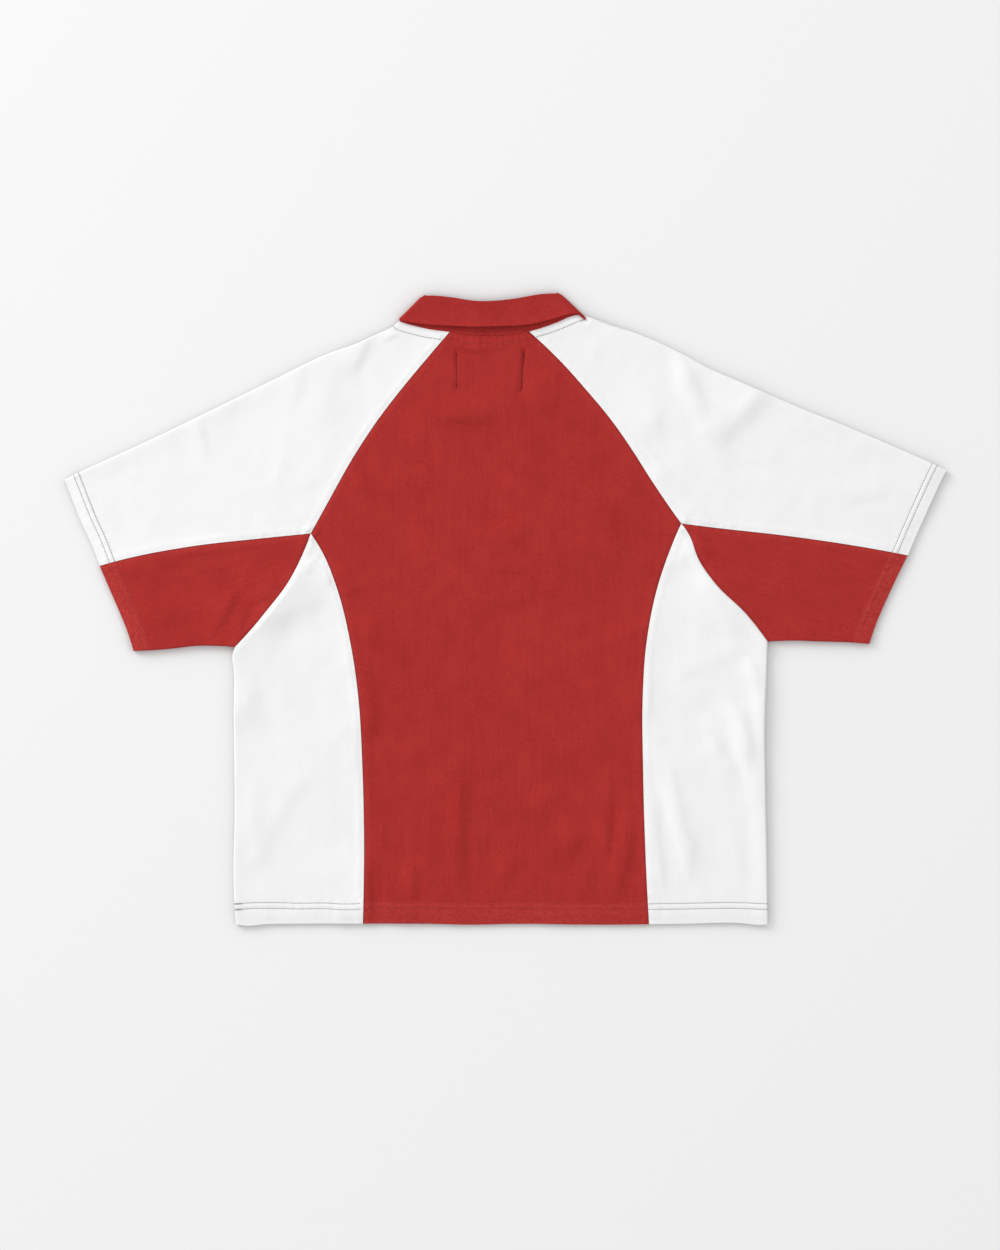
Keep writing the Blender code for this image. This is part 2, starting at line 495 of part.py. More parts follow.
def collar_stations():
    """Places round the collar, from its left front end to its right front end.

    Each is (neck point, fold-line point, way out of the crease, crease angle, stand rho,
    fall rho, fall length, turn of the fall)."""
    stations = []

    def front(side, neck_inner, top, sign, out):
        end = np.array([[PLACKET_TOP[0] + sign * NOTCH_WIDTH / 2.0, PLACKET_TOP[1]],
                        [PLACKET_TOP[0] + sign * COLLAR_END_GAP, PLACKET_TOP[1]]])
        neck = np.vstack([evenly(smooth_line(side["neck_front"]), SLEEVE_CELLS),
                          evenly(smooth_line(neck_inner), FRONT_CELLS)[1:], end])
        tops = evenly(smooth_line(top), len(neck) - 1)
        tops[-1] = end[-1] + (0.0, STAND_LENGTH)
        share = np.linspace(0.0, 1.0, len(neck))
        rows = []
        for place, crown, part in zip(neck, tops, share):
            stand = np.linalg.norm(place - crown)
            middle = front_lift(place[None])[0] + CLOTH / 2.0
            fall = stand * 0.97 * (1 - part**1.5) + COLLAR_POINT * part**1.5
            turn = sign * np.radians(POINT_SPREAD) * part**2
            rows.append((place, crown, out, -90.0, COLLAR_AXIS - middle,
                         COLLAR_AXIS - RIB / 2.0, fall, turn))
        return rows

    def crease(place, crown, out, angles):
        stand = np.linalg.norm(np.array(place) - crown)
        return [(np.array(place), np.array(crown), out, angle, STAND_REACH,
                 COLLAR_AXIS - RIB / 2.0, 0.97 * stand, 0.0) for angle in angles]

    out_left, out_right = unit(np.array(CREASE_OUT_LEFT)), unit(np.array(CREASE_OUT_RIGHT))
    sweep = np.linspace(-90.0, 90.0, FOLD_CELLS + 1)[1:-1]
    stations += front(LEFT, NECK_FRONT_LEFT, COLLAR_TOP_FRONT_LEFT, -1.0, out_left)[::-1]
    stations += crease(NECK_LEFT, CREASE_LEFT, out_left, sweep)
    neck = np.vstack([evenly(smooth_line(LEFT["neck_back"]), SLEEVE_CELLS),
                      evenly(smooth_line(NECK_BACK), BACK_CELLS)[1:],
                      evenly(smooth_line(RIGHT["neck_back"]), SLEEVE_CELLS)[::-1][1:]])
    tops = evenly(smooth_line(COLLAR_TOP_BACK), len(neck) - 1)
    share = np.linspace(0.0, 1.0, len(neck))
    falls = np.interp(share, *np.array(FALL_SHARE).T)
    for place, crown, part, fall in zip(neck, tops, share, falls):
        stand = np.linalg.norm(place - crown)
        middle = back_rise(place[None])[0] + CLOTH / 2.0
        rho = middle - COLLAR_AXIS
        out = out_left if part < 0.5 else out_right
        stations.append((place, crown, out, 90.0, rho, rho + RIB + LAYER_GAP, fall * stand, 0.0))
    stations += crease(NECK_RIGHT, CREASE_RIGHT, out_right, sweep[::-1])
    stations += front(RIGHT, NECK_FRONT_RIGHT, COLLAR_TOP_FRONT_RIGHT, 1.0, out_right)
    return stations


def add_collar(material):
    """Wall round the neck: sections swept from front end to front end, over both creases."""
    skins = []
    for skin in (RIB / 2.0, -RIB / 2.0):
        rows = []
        for place, crown, out, angle, rho_stand, rho_fall, fall, turn in collar_stations():
            stand = np.linalg.norm(place - crown)
            away, rho = collar_turn(rho_stand, rho_fall, fall, stand, skin)
            down = (place - crown) / stand
            turned = np.array([down[0] * np.cos(turn) - down[1] * np.sin(turn),
                               down[0] * np.sin(turn) + down[1] * np.cos(turn)])
            on_fall = (np.arange(len(away)) > len(away) - 4)[:, None]
            heading = np.where(on_fall, turned, down)
            swing = np.radians(angle)
            narrow = 1.0 - CORNER_NARROW * plateau(np.maximum(away, 0.0), 0.0, CORNER_TAPER)
            reach = rho * narrow * np.cos(swing)
            plan = crown + away[:, None] * heading + reach[:, None] * out
            rows.append(level(plan, COLLAR_AXIS + rho * np.sin(swing)))
        skins.append(np.array(rows))
    outer, inner = skins
    shift = np.zeros_like(outer)
    step = unit(outer[:, 1] - outer[:, 0])
    shift[:, 0] = step * SEAM_GAP / 2.0
    return add_wall("collar", outer + shift, inner + shift, material)


# ---------------------------------------------------------------- placket and buttons


def placket_middle(front):
    """Level centre line of the placket: the middle column of the opening."""
    return front[:PLACKET_ROWS + 1, FRONT_CELLS + 2]


def add_placket_under(front, material):
    """Fills the opening in the front panel, a seam gap inside its three sides."""
    plan = front[:PLACKET_ROWS + 1, FRONT_CELLS + 1:FRONT_CELLS + 4].copy()
    plan[:, 0, 0] += SEAM_GAP
    plan[:, -1, 0] -= SEAM_GAP
    plan[0, :, 1] -= SEAM_GAP / 2.0
    plan[-1, :, 1] += SEAM_GAP
    height = np.full(plan.shape[:2], PLACKET_LIFT)
    return add_wall("placket_under", level(plan, height + CLOTH), level(plan, height), material)


def add_placket_over(front, material):
    """Covers the opening from outside, and runs a little past its foot."""
    middle = placket_middle(front).copy()
    middle[0, 1] -= SEAM_GAP / 2.0
    middle[-1, 1] -= PLACKET_TAIL
    reach = np.array([[-PLACKET_WIDTH / 2.0, 0.0], [0.0, 0.0], [PLACKET_WIDTH / 2.0, 0.0]])
    plan = middle[:, None] + reach[None]
    height = np.full(plan.shape[:2], BUTTON_HEIGHT + LAYER_GAP)
    return add_wall("placket_over", level(plan, height + CLOTH), level(plan, height), material)


def add_button(name, front, drop, material):
    """A turned disc with a rounded rim, lying on the table under the placket."""
    middle = placket_middle(front)[::-1]
    y = PLACKET_TOP[1] - drop
    x = float(np.interp(y, middle[:, 1], middle[:, 0]))
    body = bmesh.new()
    bmesh.ops.create_cone(body, cap_ends=True, segments=16, radius1=BUTTON_RADIUS,
                          radius2=BUTTON_RADIUS, depth=BUTTON_HEIGHT)
    rims = [edge for edge in body.edges if abs(edge.verts[0].co.z - edge.verts[1].co.z) < 1e-6]
    bmesh.ops.bevel(body, geom=rims, offset=BUTTON_RIM, segments=1, affect="EDGES")
    bmesh.ops.translate(body, verts=body.verts, vec=(x, y, BUTTON_HEIGHT / 2.0))
    return add_object(name, body, material)


# ---------------------------------------------------------------- materials and build


def cloth_material(name, colour, roughness):
    material = bpy.data.materials.new(name)
    material.use_nodes = True
    shader = material.node_tree.nodes["Principled BSDF"]
    shader.inputs["Base Color"].default_value = colour
    shader.inputs["Roughness"].default_value = roughness
    shader.inputs["Metallic"].default_value = 0.0
    material.diffuse_color = colour
    return material


def build():
    for item in list(bpy.data.objects):
        bpy.data.objects.remove(item, do_unlink=True)

    add_back_panel(cloth_material("back_jersey", RED, 0.85))
    front = front_plan()
    add_front_panel(front, cloth_material("front_jersey", RED, 0.85))
    shoulder_share = {"left": 0.485, "right": 0.455}
    for name, side, out in (("left", LEFT, CREASE_OUT_LEFT), ("right", RIGHT, CREASE_OUT_RIGHT)):
        add_upper_sleeve(f"upper_sleeve_{name}", side, unit(np.array(out)), shoulder_share[name],
                         cloth_material(f"upper_sleeve_{name}_jersey", WHITE, 0.85))
        add_lower_sleeve(f"lower_sleeve_{name}", side,
                         cloth_material(f"lower_sleeve_{name}_jersey", RED, 0.85))
        add_side_panel(f"side_panel_{name}", side,
                       cloth_material(f"side_panel_{name}_jersey", WHITE, 0.85))
    add_collar(cloth_material("collar_rib", RED, 0.9))

    add_placket_over(front, cloth_material("placket_over_jersey", RED, 0.85))
    add_placket_under(front, cloth_material("placket_under_jersey", RED, 0.85))
    for number, drop in enumerate(BUTTON_DROP, start=1):
        add_button(f"button_{number}", front, drop, cloth_material(f"button_{number}_horn", HORN, 0.35))


build()
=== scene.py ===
import bpy
import numpy as np
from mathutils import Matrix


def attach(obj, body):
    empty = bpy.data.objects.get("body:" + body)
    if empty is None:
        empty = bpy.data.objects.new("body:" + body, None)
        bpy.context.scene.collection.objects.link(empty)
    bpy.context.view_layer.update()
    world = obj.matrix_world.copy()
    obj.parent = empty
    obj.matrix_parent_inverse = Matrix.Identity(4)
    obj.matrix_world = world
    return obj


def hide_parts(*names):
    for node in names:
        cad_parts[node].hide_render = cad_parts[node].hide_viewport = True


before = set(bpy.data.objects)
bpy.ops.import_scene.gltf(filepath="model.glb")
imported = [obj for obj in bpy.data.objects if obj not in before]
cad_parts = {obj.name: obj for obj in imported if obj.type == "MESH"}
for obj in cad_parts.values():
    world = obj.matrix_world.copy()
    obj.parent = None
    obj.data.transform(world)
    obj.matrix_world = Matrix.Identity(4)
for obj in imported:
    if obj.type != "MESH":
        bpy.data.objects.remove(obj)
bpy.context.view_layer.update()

# Sizes that every panel shares.
cloth = dict(
    wall=0.0012,            # jersey, one layer
    rise=0.0034,            # underside of the back layer above the table
    edgePlump=0.0014,       # extra rise at the folded edges
    edgeWidth=0.014,
    neckRise=0.0003,
    placketRise=0.0020,     # extra rise of the back layer over the placket
    leafLift=0.0018,        # underside of the front layer over the collar leaves
    placketLift=0.0034,     # and over the placket
    cell=0.0028,            # grid step over the panels
    bodyColumns=146,        # columns of the back panel
    stitchZoneCell=0.0011,  # grid step where hem and cuffs are stitched
    grip=0.72,              # how much tighter the grid gets at a seam
    foldSteps=14,           # steps round a folded edge
    foldRound=0.62,         # how far a fold bulges out, as a share of half its height
    neckFade=(0.008, 0.060), placketFade=(0.048, 0.130),  # from and to which distance a rise fades
    leafFade=(0.045, 0.085), stripFade=(0.022, 0.060), edgeFade=(0.004, 0.050),
    creaseFade=(0.001, 0.008), calmFade=(0.002, 0.020),
)

# Plan lines, (x, y) rows in tenths of a millimetre, read from the neck or the middle outwards.
neckLeft, neckRight = (-1176, 3215), (888, 3228)
creaseLeft, creaseRight = (-897, 3497), (577, 3523)
creaseOut = dict(left=(-0.70, 0.714), right=(0.70, 0.714))
underarmLeft, underarmRight = (-2178, 844), (1966, 956)
placketTop, placketFoot = (-157, 2297), (-129, 960)

leftLines = dict(
    neckBack=[neckLeft, (-931, 3147), (-625, 3100)],
    neckFront=[neckLeft, (-1040, 2900), (-900, 2620)],
    raglanBack=[(-625, 3100), (-890, 2790), (-1170, 2453), (-1428, 2117), (-1652, 1781),
                (-2033, 1109), underarmLeft],
    raglanFront=[(-900, 2620), (-1330, 2100), (-1700, 1600), underarmLeft],
    sideSeam=[underarmLeft, (-2033, 605), (-1898, 269), (-1730, -403), (-1650, -950), (-1600, -1800),
              (-1596, -3522)],
    sleeveSeam=[underarmLeft, (-2750, 788), (-3575, 691), (-4318, 544), (-4542, 482)],
    armhole=[underarmLeft, (-2298, 549), (-2440, 280), (-2644, 10), (-2888, -280), (-3025, -426)],
    shoulderFold=[(-1187, 3226), (-1277, 3150), (-1406, 3091), (-1674, 2968), (-1988, 2856),
                  (-2526, 2600), (-3030, 2352), (-4038, 1865), (-4542, 1635), (-4878, 1478),
                  (-4934, 1447)],
    underFold=[(-3025, -426), (-3265, -412), (-3481, -414), (-3735, -444), (-4161, -470)],
    sideFold=[(-3025, -426), (-3055, -520), (-3041, -683), (-3041, -1243), (-3030, -2250),
              (-3041, -3147), (-3018, -3528)],
    cuffUpper=[(-4542, 482), (-4651, 762), (-4739, 952), (-4833, 1187), (-4934, 1447)],
    cuffLower=[(-4542, 482), (-4441, 246), (-4329, -11), (-4235, -240), (-4161, -470)],
    hem=[(-1596, -3522), (-2302, -3522), (-2694, -3528), (-2895, -3545), (-3018, -3528)],
    hemStitch=[(-1596, -3522), (-1800, -3529), (-2060, -3518), (-2302, -3522), (-2600, -3514),
               (-2800, -3515), (-3018, -3530)],
)

rightLines = dict(
    neckBack=[neckRight, (858, 3276), (810, 3290), (735, 3274), (590, 3212), (265, 3102)],
    neckFront=[neckRight, (750, 2900), (580, 2625)],
    raglanBack=[(265, 3102), (599, 2789), (902, 2453), (1182, 2117), (1417, 1781),
                (1630, 1445), underarmRight],
    raglanFront=[(580, 2625), (1020, 2080), (1450, 1560), underarmRight],
    sideSeam=[underarmRight, (1820, 605), (1708, 269), (1574, -403), (1538, -900), (1540, -1800),
              (1607, -3528)],
    sleeveSeam=[underarmRight, (2321, 912), (3223, 809), (4010, 691), (4502, 600)],
    armhole=[underarmRight, (2050, 838), (2158, 559), (2348, 281), (2700, -65), (2931, -364)],
    shoulderFold=[(908, 3243), (984, 3228), (1130, 3190), (1383, 3114), (1618, 3024), (1977, 2856),
                  (2290, 2688), (2626, 2542), (3298, 2251), (3802, 2050), (4306, 1837), (4934, 1557)],
    underFold=[(2931, -364), (3175, -354), (3567, -365), (3847, -373), (4071, -392)],
    sideFold=[(2931, -364), (2929, -482), (2918, -795), (2901, -1355), (2906, -1915), (2925, -2850),
              (2934, -3528)],
    cuffUpper=[(4502, 600), (4654, 952), (4795, 1266), (4889, 1467), (4934, 1557)],
    cuffLower=[(4502, 600), (4370, 336), (4262, 101), (4166, -119), (4071, -392)],
    hem=[(1607, -3528), (2022, -3522), (2626, -3515), (2828, -3534), (2934, -3528)],
    hemStitch=[(1607, -3528), (2022, -3522), (2626, -3515), (2828, -3524), (2934, -3528)],
)

neckBackRows = [(-625, 3100), (-398, 3067), (-162, 3058), (50, 3069), (265, 3102)]
hemBackRows = [(-1596, -3522), (-823, -3522), (-465, -3532), (207, -3522), (879, -3532), (1607, -3528)]
neckFrontRows = dict(left=[(-900, 2620), (-640, 2415), (-367, 2310)],
                     right=[(580, 2625), (325, 2420), (53, 2310)])

# Creases of the back layer: line, height of the ridge in hundredths of a millimetre, its width on
# the left of the line's direction and on the right in tenths. The steep side is the narrow one.
creases = [
    ([(-1169, 3111), (-1427, 2982)], 148, 35, 90),
    ([(-1513, 3150), (-1638, 2853), (-1764, 2577)], 280, 70, 179),
    ([(-1883, 3125), (-2088, 1880)], 223, 200, 340),
    ([(-2286, 2819), (-2334, 2449), (-2417, 2173)], 134, 61, 157),
    ([(-2472, 1798), (-2594, 1298)], 64, 52, 134),
    ([(-2378, 2192), (-2598, 1005)], 115, 314, 122),
    ([(-2710, 1833), (-2859, 1465)], 30, 35, 90),
    ([(-3461, 2161), (-3400, 1909), (-3318, 1689)], 141, 44, 112),
    ([(-2971, 2485), (-3158, 2089)], 60, 70, 179),
    ([(-4205, 1788), (-4050, 1405)], 100, 44, 112),
    ([(-1862, 1591), (-2378, 1334)], 63, 70, 179),
    ([(-1976, 2504), (-2111, 1913)], 48, 52, 134),
    ([(3011, 2648), (2723, 2298), (2532, 2108), (2213, 1810)], 300, 131, 336),
    ([(2943, 2523), (2468, 2084)], 153, 202, 79),
    ([(1880, 2966), (2035, 2447), (2397, 1687)], 278, 224, 87),
    ([(1904, 2881), (2121, 2440), (2294, 2102)], 268, 61, 157),
    ([(2558, 1874), (2165, 2081)], 203, 70, 179),
    ([(2533, 2680), (2271, 2374)], 77, 70, 179),
    ([(1565, 1651), (2113, 1230)], 152, 52, 134),
    ([(1447, 1957), (1937, 1356)], 95, 44, 112),
    ([(1928, 1297), (2381, 898)], 203, 70, 179),
    ([(435, 3092), (1209, 3267)], 122, 224, 87),
    ([(1568, 2424), (1753, 1826)], 210, 105, 269),
    ([(3324, 2270), (3397, 1854)], 74, 44, 112),
    ([(3764, 1673), (4067, 1976)], 44, 52, 134),
    ([(3719, 1220), (4367, 1333)], 96, 134, 52),
    ([(3885, 1086), (4398, 1143)], 51, 44, 112),
    ([(2599, 1700), (3113, 1614)], 87, 134, 52),
    ([(-2327, 422), (-2162, 527), (-1994, 345)], 139, 35, 90),
    ([(-2304, 381), (-2105, 506)], 114, 112, 44),
    ([(-2046, 484), (-1961, 205)], 152, 44, 112),
    ([(-2238, 575), (-2662, -77), (-3021, -402)], 240, 175, 340),
    ([(-1934, 201), (-2427, 25), (-2852, -276)], 257, 122, 314),
    ([(-2411, -101), (-3169, -631)], 229, 200, 340),
    ([(-2954, -704), (-2776, -1358)], 300, 105, 269),
    ([(-2797, -1604), (-2825, -2750)], 165, 79, 202),
    ([(-2822, -1685), (-2822, -2683)], 65, 157, 61),
    ([(-1902, -1423), (-2302, -1947), (-2571, -2305), (-2750, -2607), (-2950, -3123)], 160, 105, 269),
    ([(-2772, -2411), (-2822, -2938)], 87, 134, 52),
    ([(-1709, -1441), (-1702, -1875)], 79, 44, 112),
    ([(-1842, -3168), (-1842, -3619)], 149, 179, 70),
    ([(2089, 740), (1884, 421)], 155, 179, 70),
    ([(2056, 597), (2334, 147), (2650, -370)], 300, 269, 105),
    ([(2603, -296), (2517, -660)], 131, 61, 157),
    ([(1838, -767), (2498, -521)], 134, 179, 70),
    ([(2688, -444), (2848, -1016), (2904, -1750)], 262, 202, 79),
    ([(2702, -524), (2870, -877)], 197, 44, 112),
    ([(2392, -962), (2646, -1187), (2708, -1464), (2756, -1830)], 279, 48, 123),
    ([(2510, -948), (2663, -1624), (2785, -1993), (2853, -2458)], 300, 202, 79),
    ([(2817, -2084), (2848, -2795), (2950, -3336)], 154, 202, 79),
    ([(2263, -1397), (2465, -1686), (2650, -1945)], 228, 52, 134),
    ([(2158, -1212), (2424, -1654)], 152, 134, 52),
    ([(1633, -1415), (1841, -1829), (1963, -2410), (2055, -2624), (2055, -3213)], 221, 61, 157),
    ([(1740, -1890), (1922, -2417), (2119, -3114)], 244, 179, 70),
    ([(1590, -532), (1590, -1305)], 124, 70, 179),
    ([(1619, -1897), (1681, -2682), (1785, -3365)], 276, 70, 179),
    ([(2533, -2377), (2625, -3052)], 106, 52, 134),
    ([(2503, -2359), (2658, -2993)], 60, 112, 44),
    ([(-2986, 320), (-3141, -34), (-3390, -379)], 300, 70, 179),
    ([(-2992, 292), (-3214, -138)], 89, 112, 44),
    ([(-2888, 133), (-2950, -113), (-3033, -334)], 225, 52, 134),
    ([(-2602, 173), (-2888, 48)], 94, 26, 67),
    ([(-2689, 98), (-2779, -196)], 158, 134, 52),
    ([(-2661, 396), (-2474, 239)], 152, 26, 67),
    ([(-2511, 441), (-2789, 1)], 274, 105, 269),
    ([(-2792, 562), (-2991, 125)], 144, 70, 179),
    ([(-3804, 603), (-3035, 679)], 177, 134, 52),
    ([(-4443, 388), (-3603, 594)], 196, 224, 87),
    ([(-3767, 43), (-3920, -391)], 200, 105, 269),
    ([(2302, 535), (2380, 425)], 101, 26, 67),
    ([(2121, 958), (2262, 414)], 236, 87, 224),
    ([(2104, 581), (2385, 140), (2626, -118), (3020, -503)], 240, 175, 340),
    ([(-588, 3000), (-423, 2922), (-224, 2886)], 254, 112, 44),
    ([(-385, 2893), (75, 2958)], 142, 112, 44),
    ([(-215, 2099), (177, 2759)], 240, 200, 340),
    ([(-896, 2153), (-463, 2139), (-19, 2118)], 300, 157, 61),
    ([(120, 2374), (680, 2188)], 300, 314, 122),
    ([(438, 1398), (663, 1225)], 140, 49, 24),
    ([(144, 1119), (215, 621)], 262, 105, 269),
    ([(28, 1916), (93, 1451), (-6, 1107)], 157, 202, 79),
    ([(-186, 452), (234, 416)], 123, 90, 35),
    ([(-1670, 1719), (-1571, 1179)], 150, 61, 157),
    ([(1204, 988), (1074, 294)], 240, 200, 340),
    ([(1498, 1498), (782, 693)], 240, 200, 340),
    ([(-1872, 543), (-1625, 155)], 254, 44, 112),
    ([(1735, -10), (1170, -576)], 240, 340, 200),
    ([(-1507, 20), (-1420, -483)], 170, 70, 179),
    ([(-1607, -755), (-1490, -1152), (-1577, -1525)], 300, 79, 202),
    ([(-1567, -9), (-1581, -953)], 178, 87, 224),
    ([(-543, -1399), (-504, -2037), (-493, -2347), (-540, -2754), (-437, -3431)], 297, 70, 179),
    ([(-519, -1620), (-552, -2275), (-563, -2753), (-582, -3289)], 183, 157, 61),
    ([(-322, -1210), (-171, -1981), (-171, -2611)], 179, 202, 79),
    ([(-82, -2390), (-364, -2681)], 84, 52, 134),
    ([(15, -2824), (-119, -3307)], 114, 52, 134),
    ([(127, -2651), (-206, -3229)], 141, 179, 70),
    ([(470, -1965), (326, -2460)], 248, 122, 314),
    ([(675, -2255), (848, -2493), (559, -2862)], 300, 87, 224),
    ([(1110, -1690), (1150, -2177), (1126, -2440), (1061, -3010)], 300, 61, 157),
    ([(1401, -2046), (1298, -2520), (1251, -2760), (1152, -3245)], 165, 157, 61),
    ([(1382, -2202), (1366, -2697), (1294, -2935), (1188, -3348)], 300, 61, 157),
    ([(-1048, -2786), (-1048, -3329)], 251, 61, 157),
    ([(-1058, -2755), (-1058, -3159)], 112, 112, 44),
    ([(-968, -2757), (-794, -3161)], 150, 90, 35),
    ([(-1331, -2279), (-1423, -2737)], 118, 52, 134),
    ([(-1607, -2695), (-1544, -3183), (-1544, -3572)], 230, 52, 134),
    ([(-1310, -2980), (-1310, -3494)], 243, 134, 52),
    ([(-1054, -3181), (-1054, -3606)], 216, 70, 179),
    ([(414, -2949), (463, -3296)], 123, 35, 90),
    ([(911, -2825), (911, -3301)], 189, 61, 157),
    ([(-2270, 530), (-2400, 250), (-2600, -35), (-2815, -300)], 300, 240, 64),
]


def metres(rows):
    # Tenths of a millimetre as metres.
    return np.array(rows) / 10000.0


neckLeft, neckRight, creaseLeft, creaseRight, placketTop, placketFoot, neckBackRows, hemBackRows = [
    metres(rows) for rows in (neckLeft, neckRight, creaseLeft, creaseRight, placketTop, placketFoot,
                              neckBackRows, hemBackRows)]
neckFrontRows = {side: metres(rows) for side, rows in neckFrontRows.items()}


def smoothLine(rows, steps=12):
    # Cubic through the rows: each span starts and ends with the slope of its neighbours.
    points = np.array(rows, dtype=float)
    spans = np.linalg.norm(np.diff(points, axis=0), axis=1)
    along = np.concatenate([[0.0], np.cumsum(spans)])
    slope = np.gradient(points, along, axis=0, edge_order=2 if len(points) > 2 else 1)
    share = np.linspace(0.0, 1.0, steps, endpoint=False)[None, :, None]
    pullStart = slope[:-1, None] * spans[:, None, None]
    pullEnd = slope[1:, None] * spans[:, None, None]
    bent = (points[:-1, None] * (2 * share**3 - 3 * share**2 + 1)
            + points[1:, None] * (3 * share**2 - 2 * share**3)
            + pullStart * (share**3 - 2 * share**2 + share) + pullEnd * (share**3 - share**2))
    return np.vstack([bent.reshape(-1, points.shape[1]), points[-1:]])


def arcLength(line):
    # Distance along the line to each of its points: the running sum of the steps between them.
    return np.concatenate([[0.0], np.cumsum(np.linalg.norm(np.diff(line, axis=0), axis=1))])


def lineLength(line):
    # Whole length of a line: its distance along at the last point.
    return float(arcLength(line)[-1])


def pointsAt(line, shares, trim=0.0):
    # Points at shares of the line's length, the line being cut `trim` short of its end.
    along = arcLength(line)
    stops = np.asarray(shares) * (along[-1] - trim)
    return np.column_stack([np.interp(stops, along, line[:, k]) for k in range(line.shape[1])])


def evenly(line, count):
    # So many points, evenly spaced over the whole line.
    return pointsAt(line, np.linspace(0.0, 1.0, count))


def unit(vectors):
    # Each vector divided by its own length.
    return vectors / np.maximum(np.linalg.norm(vectors, axis=-1, keepdims=True), 1e-12)


def lineSide(points, line):
    # Level distance to a line of straight pieces, positive on its left, and how far along it
    # the nearest point is.
    flat = points.reshape(-1, 2)
    start, step = line[:-1], np.diff(line, axis=0)
    lengths = np.linalg.norm(step, axis=1)
    before = np.concatenate([[0.0], np.cumsum(lengths)])[:-1]
    offset = flat[:, None, :] - start[None]
    share = np.clip(np.sum(offset * step, axis=-1) / np.maximum(lengths**2, 1e-12), 0.0, 1.0)
    gap = np.linalg.norm(offset - share[..., None] * step, axis=-1)
    best = np.argmin(gap, axis=1)
    pick = np.arange(len(flat))
    side = np.sign(step[best, 0] * offset[pick, best, 1] - step[best, 1] * offset[pick, best, 0])
    distance = (gap[pick, best] * side).reshape(points.shape[:-1])
    along = (before[best] + share[pick, best] * lengths[best]).reshape(points.shape[:-1])
    return distance, along


def lineDistance(points, line):
    # The same distance without its sign, and how far along.
    side, along = lineSide(points, line)
    return np.abs(side), along


def nearest(points, *lines):
    # Distance to the nearest of these lines.
    return np.min([lineDistance(points, line)[0] for line in lines], axis=0)


def bell(distance, width):
    # Bell curve: 1 at 0, exp(-1) at `width`, by exp(-(distance / width)^2).
    return np.exp(-(distance / width)**2)


def plateau(distance, flat, fade):
    # 1 up to `flat`, 0 from `fade` on, with a smooth step between them.
    share = np.clip((fade - distance) / (fade - flat), 0.0, 1.0)
    return share * share * (3.0 - 2.0 * share)


def ripple(points, seed, wavelength, waves=14):
    # Sum of sine waves in seeded directions, each wavelength within a third of the one given.
    rng = np.random.default_rng(seed)
    angle = rng.uniform(0.0, 2 * np.pi, waves)
    length = wavelength * rng.uniform(0.67, 1.5, waves)
    shift = rng.uniform(0.0, 2 * np.pi, waves)
    total = np.zeros(points.shape[:-1])
    for a, l, s in zip(angle, length, shift):
        total += np.sin(2 * np.pi * (points[..., 0] * np.cos(a) + points[..., 1] * np.sin(a)) / l + s)
    return total / np.sqrt(waves / 2.0)


def wobble(along, seed, wavelength):
    # Uneven wave along a line: three sines whose lengths are not in step.
    shift = np.random.default_rng(seed).uniform(0.0, 2 * np.pi, 3)
    return (np.sin(2 * np.pi * along / wavelength + shift[0])
            + 0.7 * np.sin(2 * np.pi * along / (wavelength * 1.37) + shift[1])
            + 0.5 * np.sin(2 * np.pi * along / (wavelength * 2.9) + shift[2])) / 1.3


def offsetLine(line, distance):
    # The line moved to the side on which the shirt lies.
    tangent = unit(np.gradient(line, axis=0))
    inward = np.column_stack([-tangent[:, 1], tangent[:, 0]])
    inward *= np.sign(np.sum((np.array([-0.01, 0.0]) - line) * inward))
    return line + inward * distance


def bothSides(*names):
    # The measuring lines of these names, on the left and on the right.
    return [lines[name] for lines in coarse.values() for name in names]


def joined(left, middle, right):
    # One line over the whole width, out of three that meet end to end.
    return np.vstack([left, smoothLine(middle, 6)[1:], right[1:]])


# Each plan line as a smooth line: in short steps to build on, in long ones to measure from.
fine, coarse = [{side: {name: smoothLine(metres(rows), steps) for name, rows in lines.items()}
                 for side, lines in (("left", leftLines), ("right", rightLines))} for steps in (12, 6)]
onLeft, onRight = coarse["left"], coarse["right"]
foldLines = bothSides("shoulderFold", "underFold", "sideFold")
neckLine = joined(onLeft["neckBack"], neckBackRows, onRight["neckBack"][::-1])
frontNeckLine = np.vstack([
    onLeft["neckFront"], smoothLine(neckFrontRows["left"], 6)[1:],
    smoothLine(neckFrontRows["right"], 6)[::-1], onRight["neckFront"][::-1][1:]])
placketLine = np.array([placketTop, placketFoot])
hemLine = joined(onLeft["hem"][::-1], hemBackRows, onRight["hem"])
hemStitchLine = joined(onLeft["hemStitch"][::-1], hemBackRows, onRight["hemStitch"])
cuffLines = {side: np.vstack([lines["cuffLower"][::-1], lines["cuffUpper"][1:]])
             for side, lines in coarse.items()}
backSeams = bothSides("raglanBack", "sideSeam", "sleeveSeam", "armhole")
frontSeams = bothSides("raglanFront", "sideSeam", "sleeveSeam", "armhole")

sewing = dict(
    seamDip=0.0011, seamWidth=0.0011,         # how far red cloth rolls down at a seam
    allowance=0.00045, allowanceAt=0.0056, allowanceWidth=0.0034,  # the swell over the allowance
    pucker=0.00016, puckerWidth=0.0085, puckerWave=0.0125, crumpleWave=0.0075,
    hemRows=(0.0166, 0.0230), cuffRows=(0.0116, 0.0175), neckRow=0.0097,
    neckRowRight=[(0.0364, 0.3049), (0.0590, 0.3120), (0.0748, 0.3186), (0.0862, 0.3232),
                  (0.0905, 0.3244)],
    hemTack=(0.0015, 0.0125),                 # where each hem row is tacked at its left end
    rowClear=0.004,                           # a row's own points start so far from the fold
    bandRise=0.00035, bandFade=0.0012, rowDip=0.00036, rowWidth=0.00095,
    tunnel=0.00030, tunnelWidth=0.0018, bandPucker=1.3, bandPuckerWidth=0.010,
)
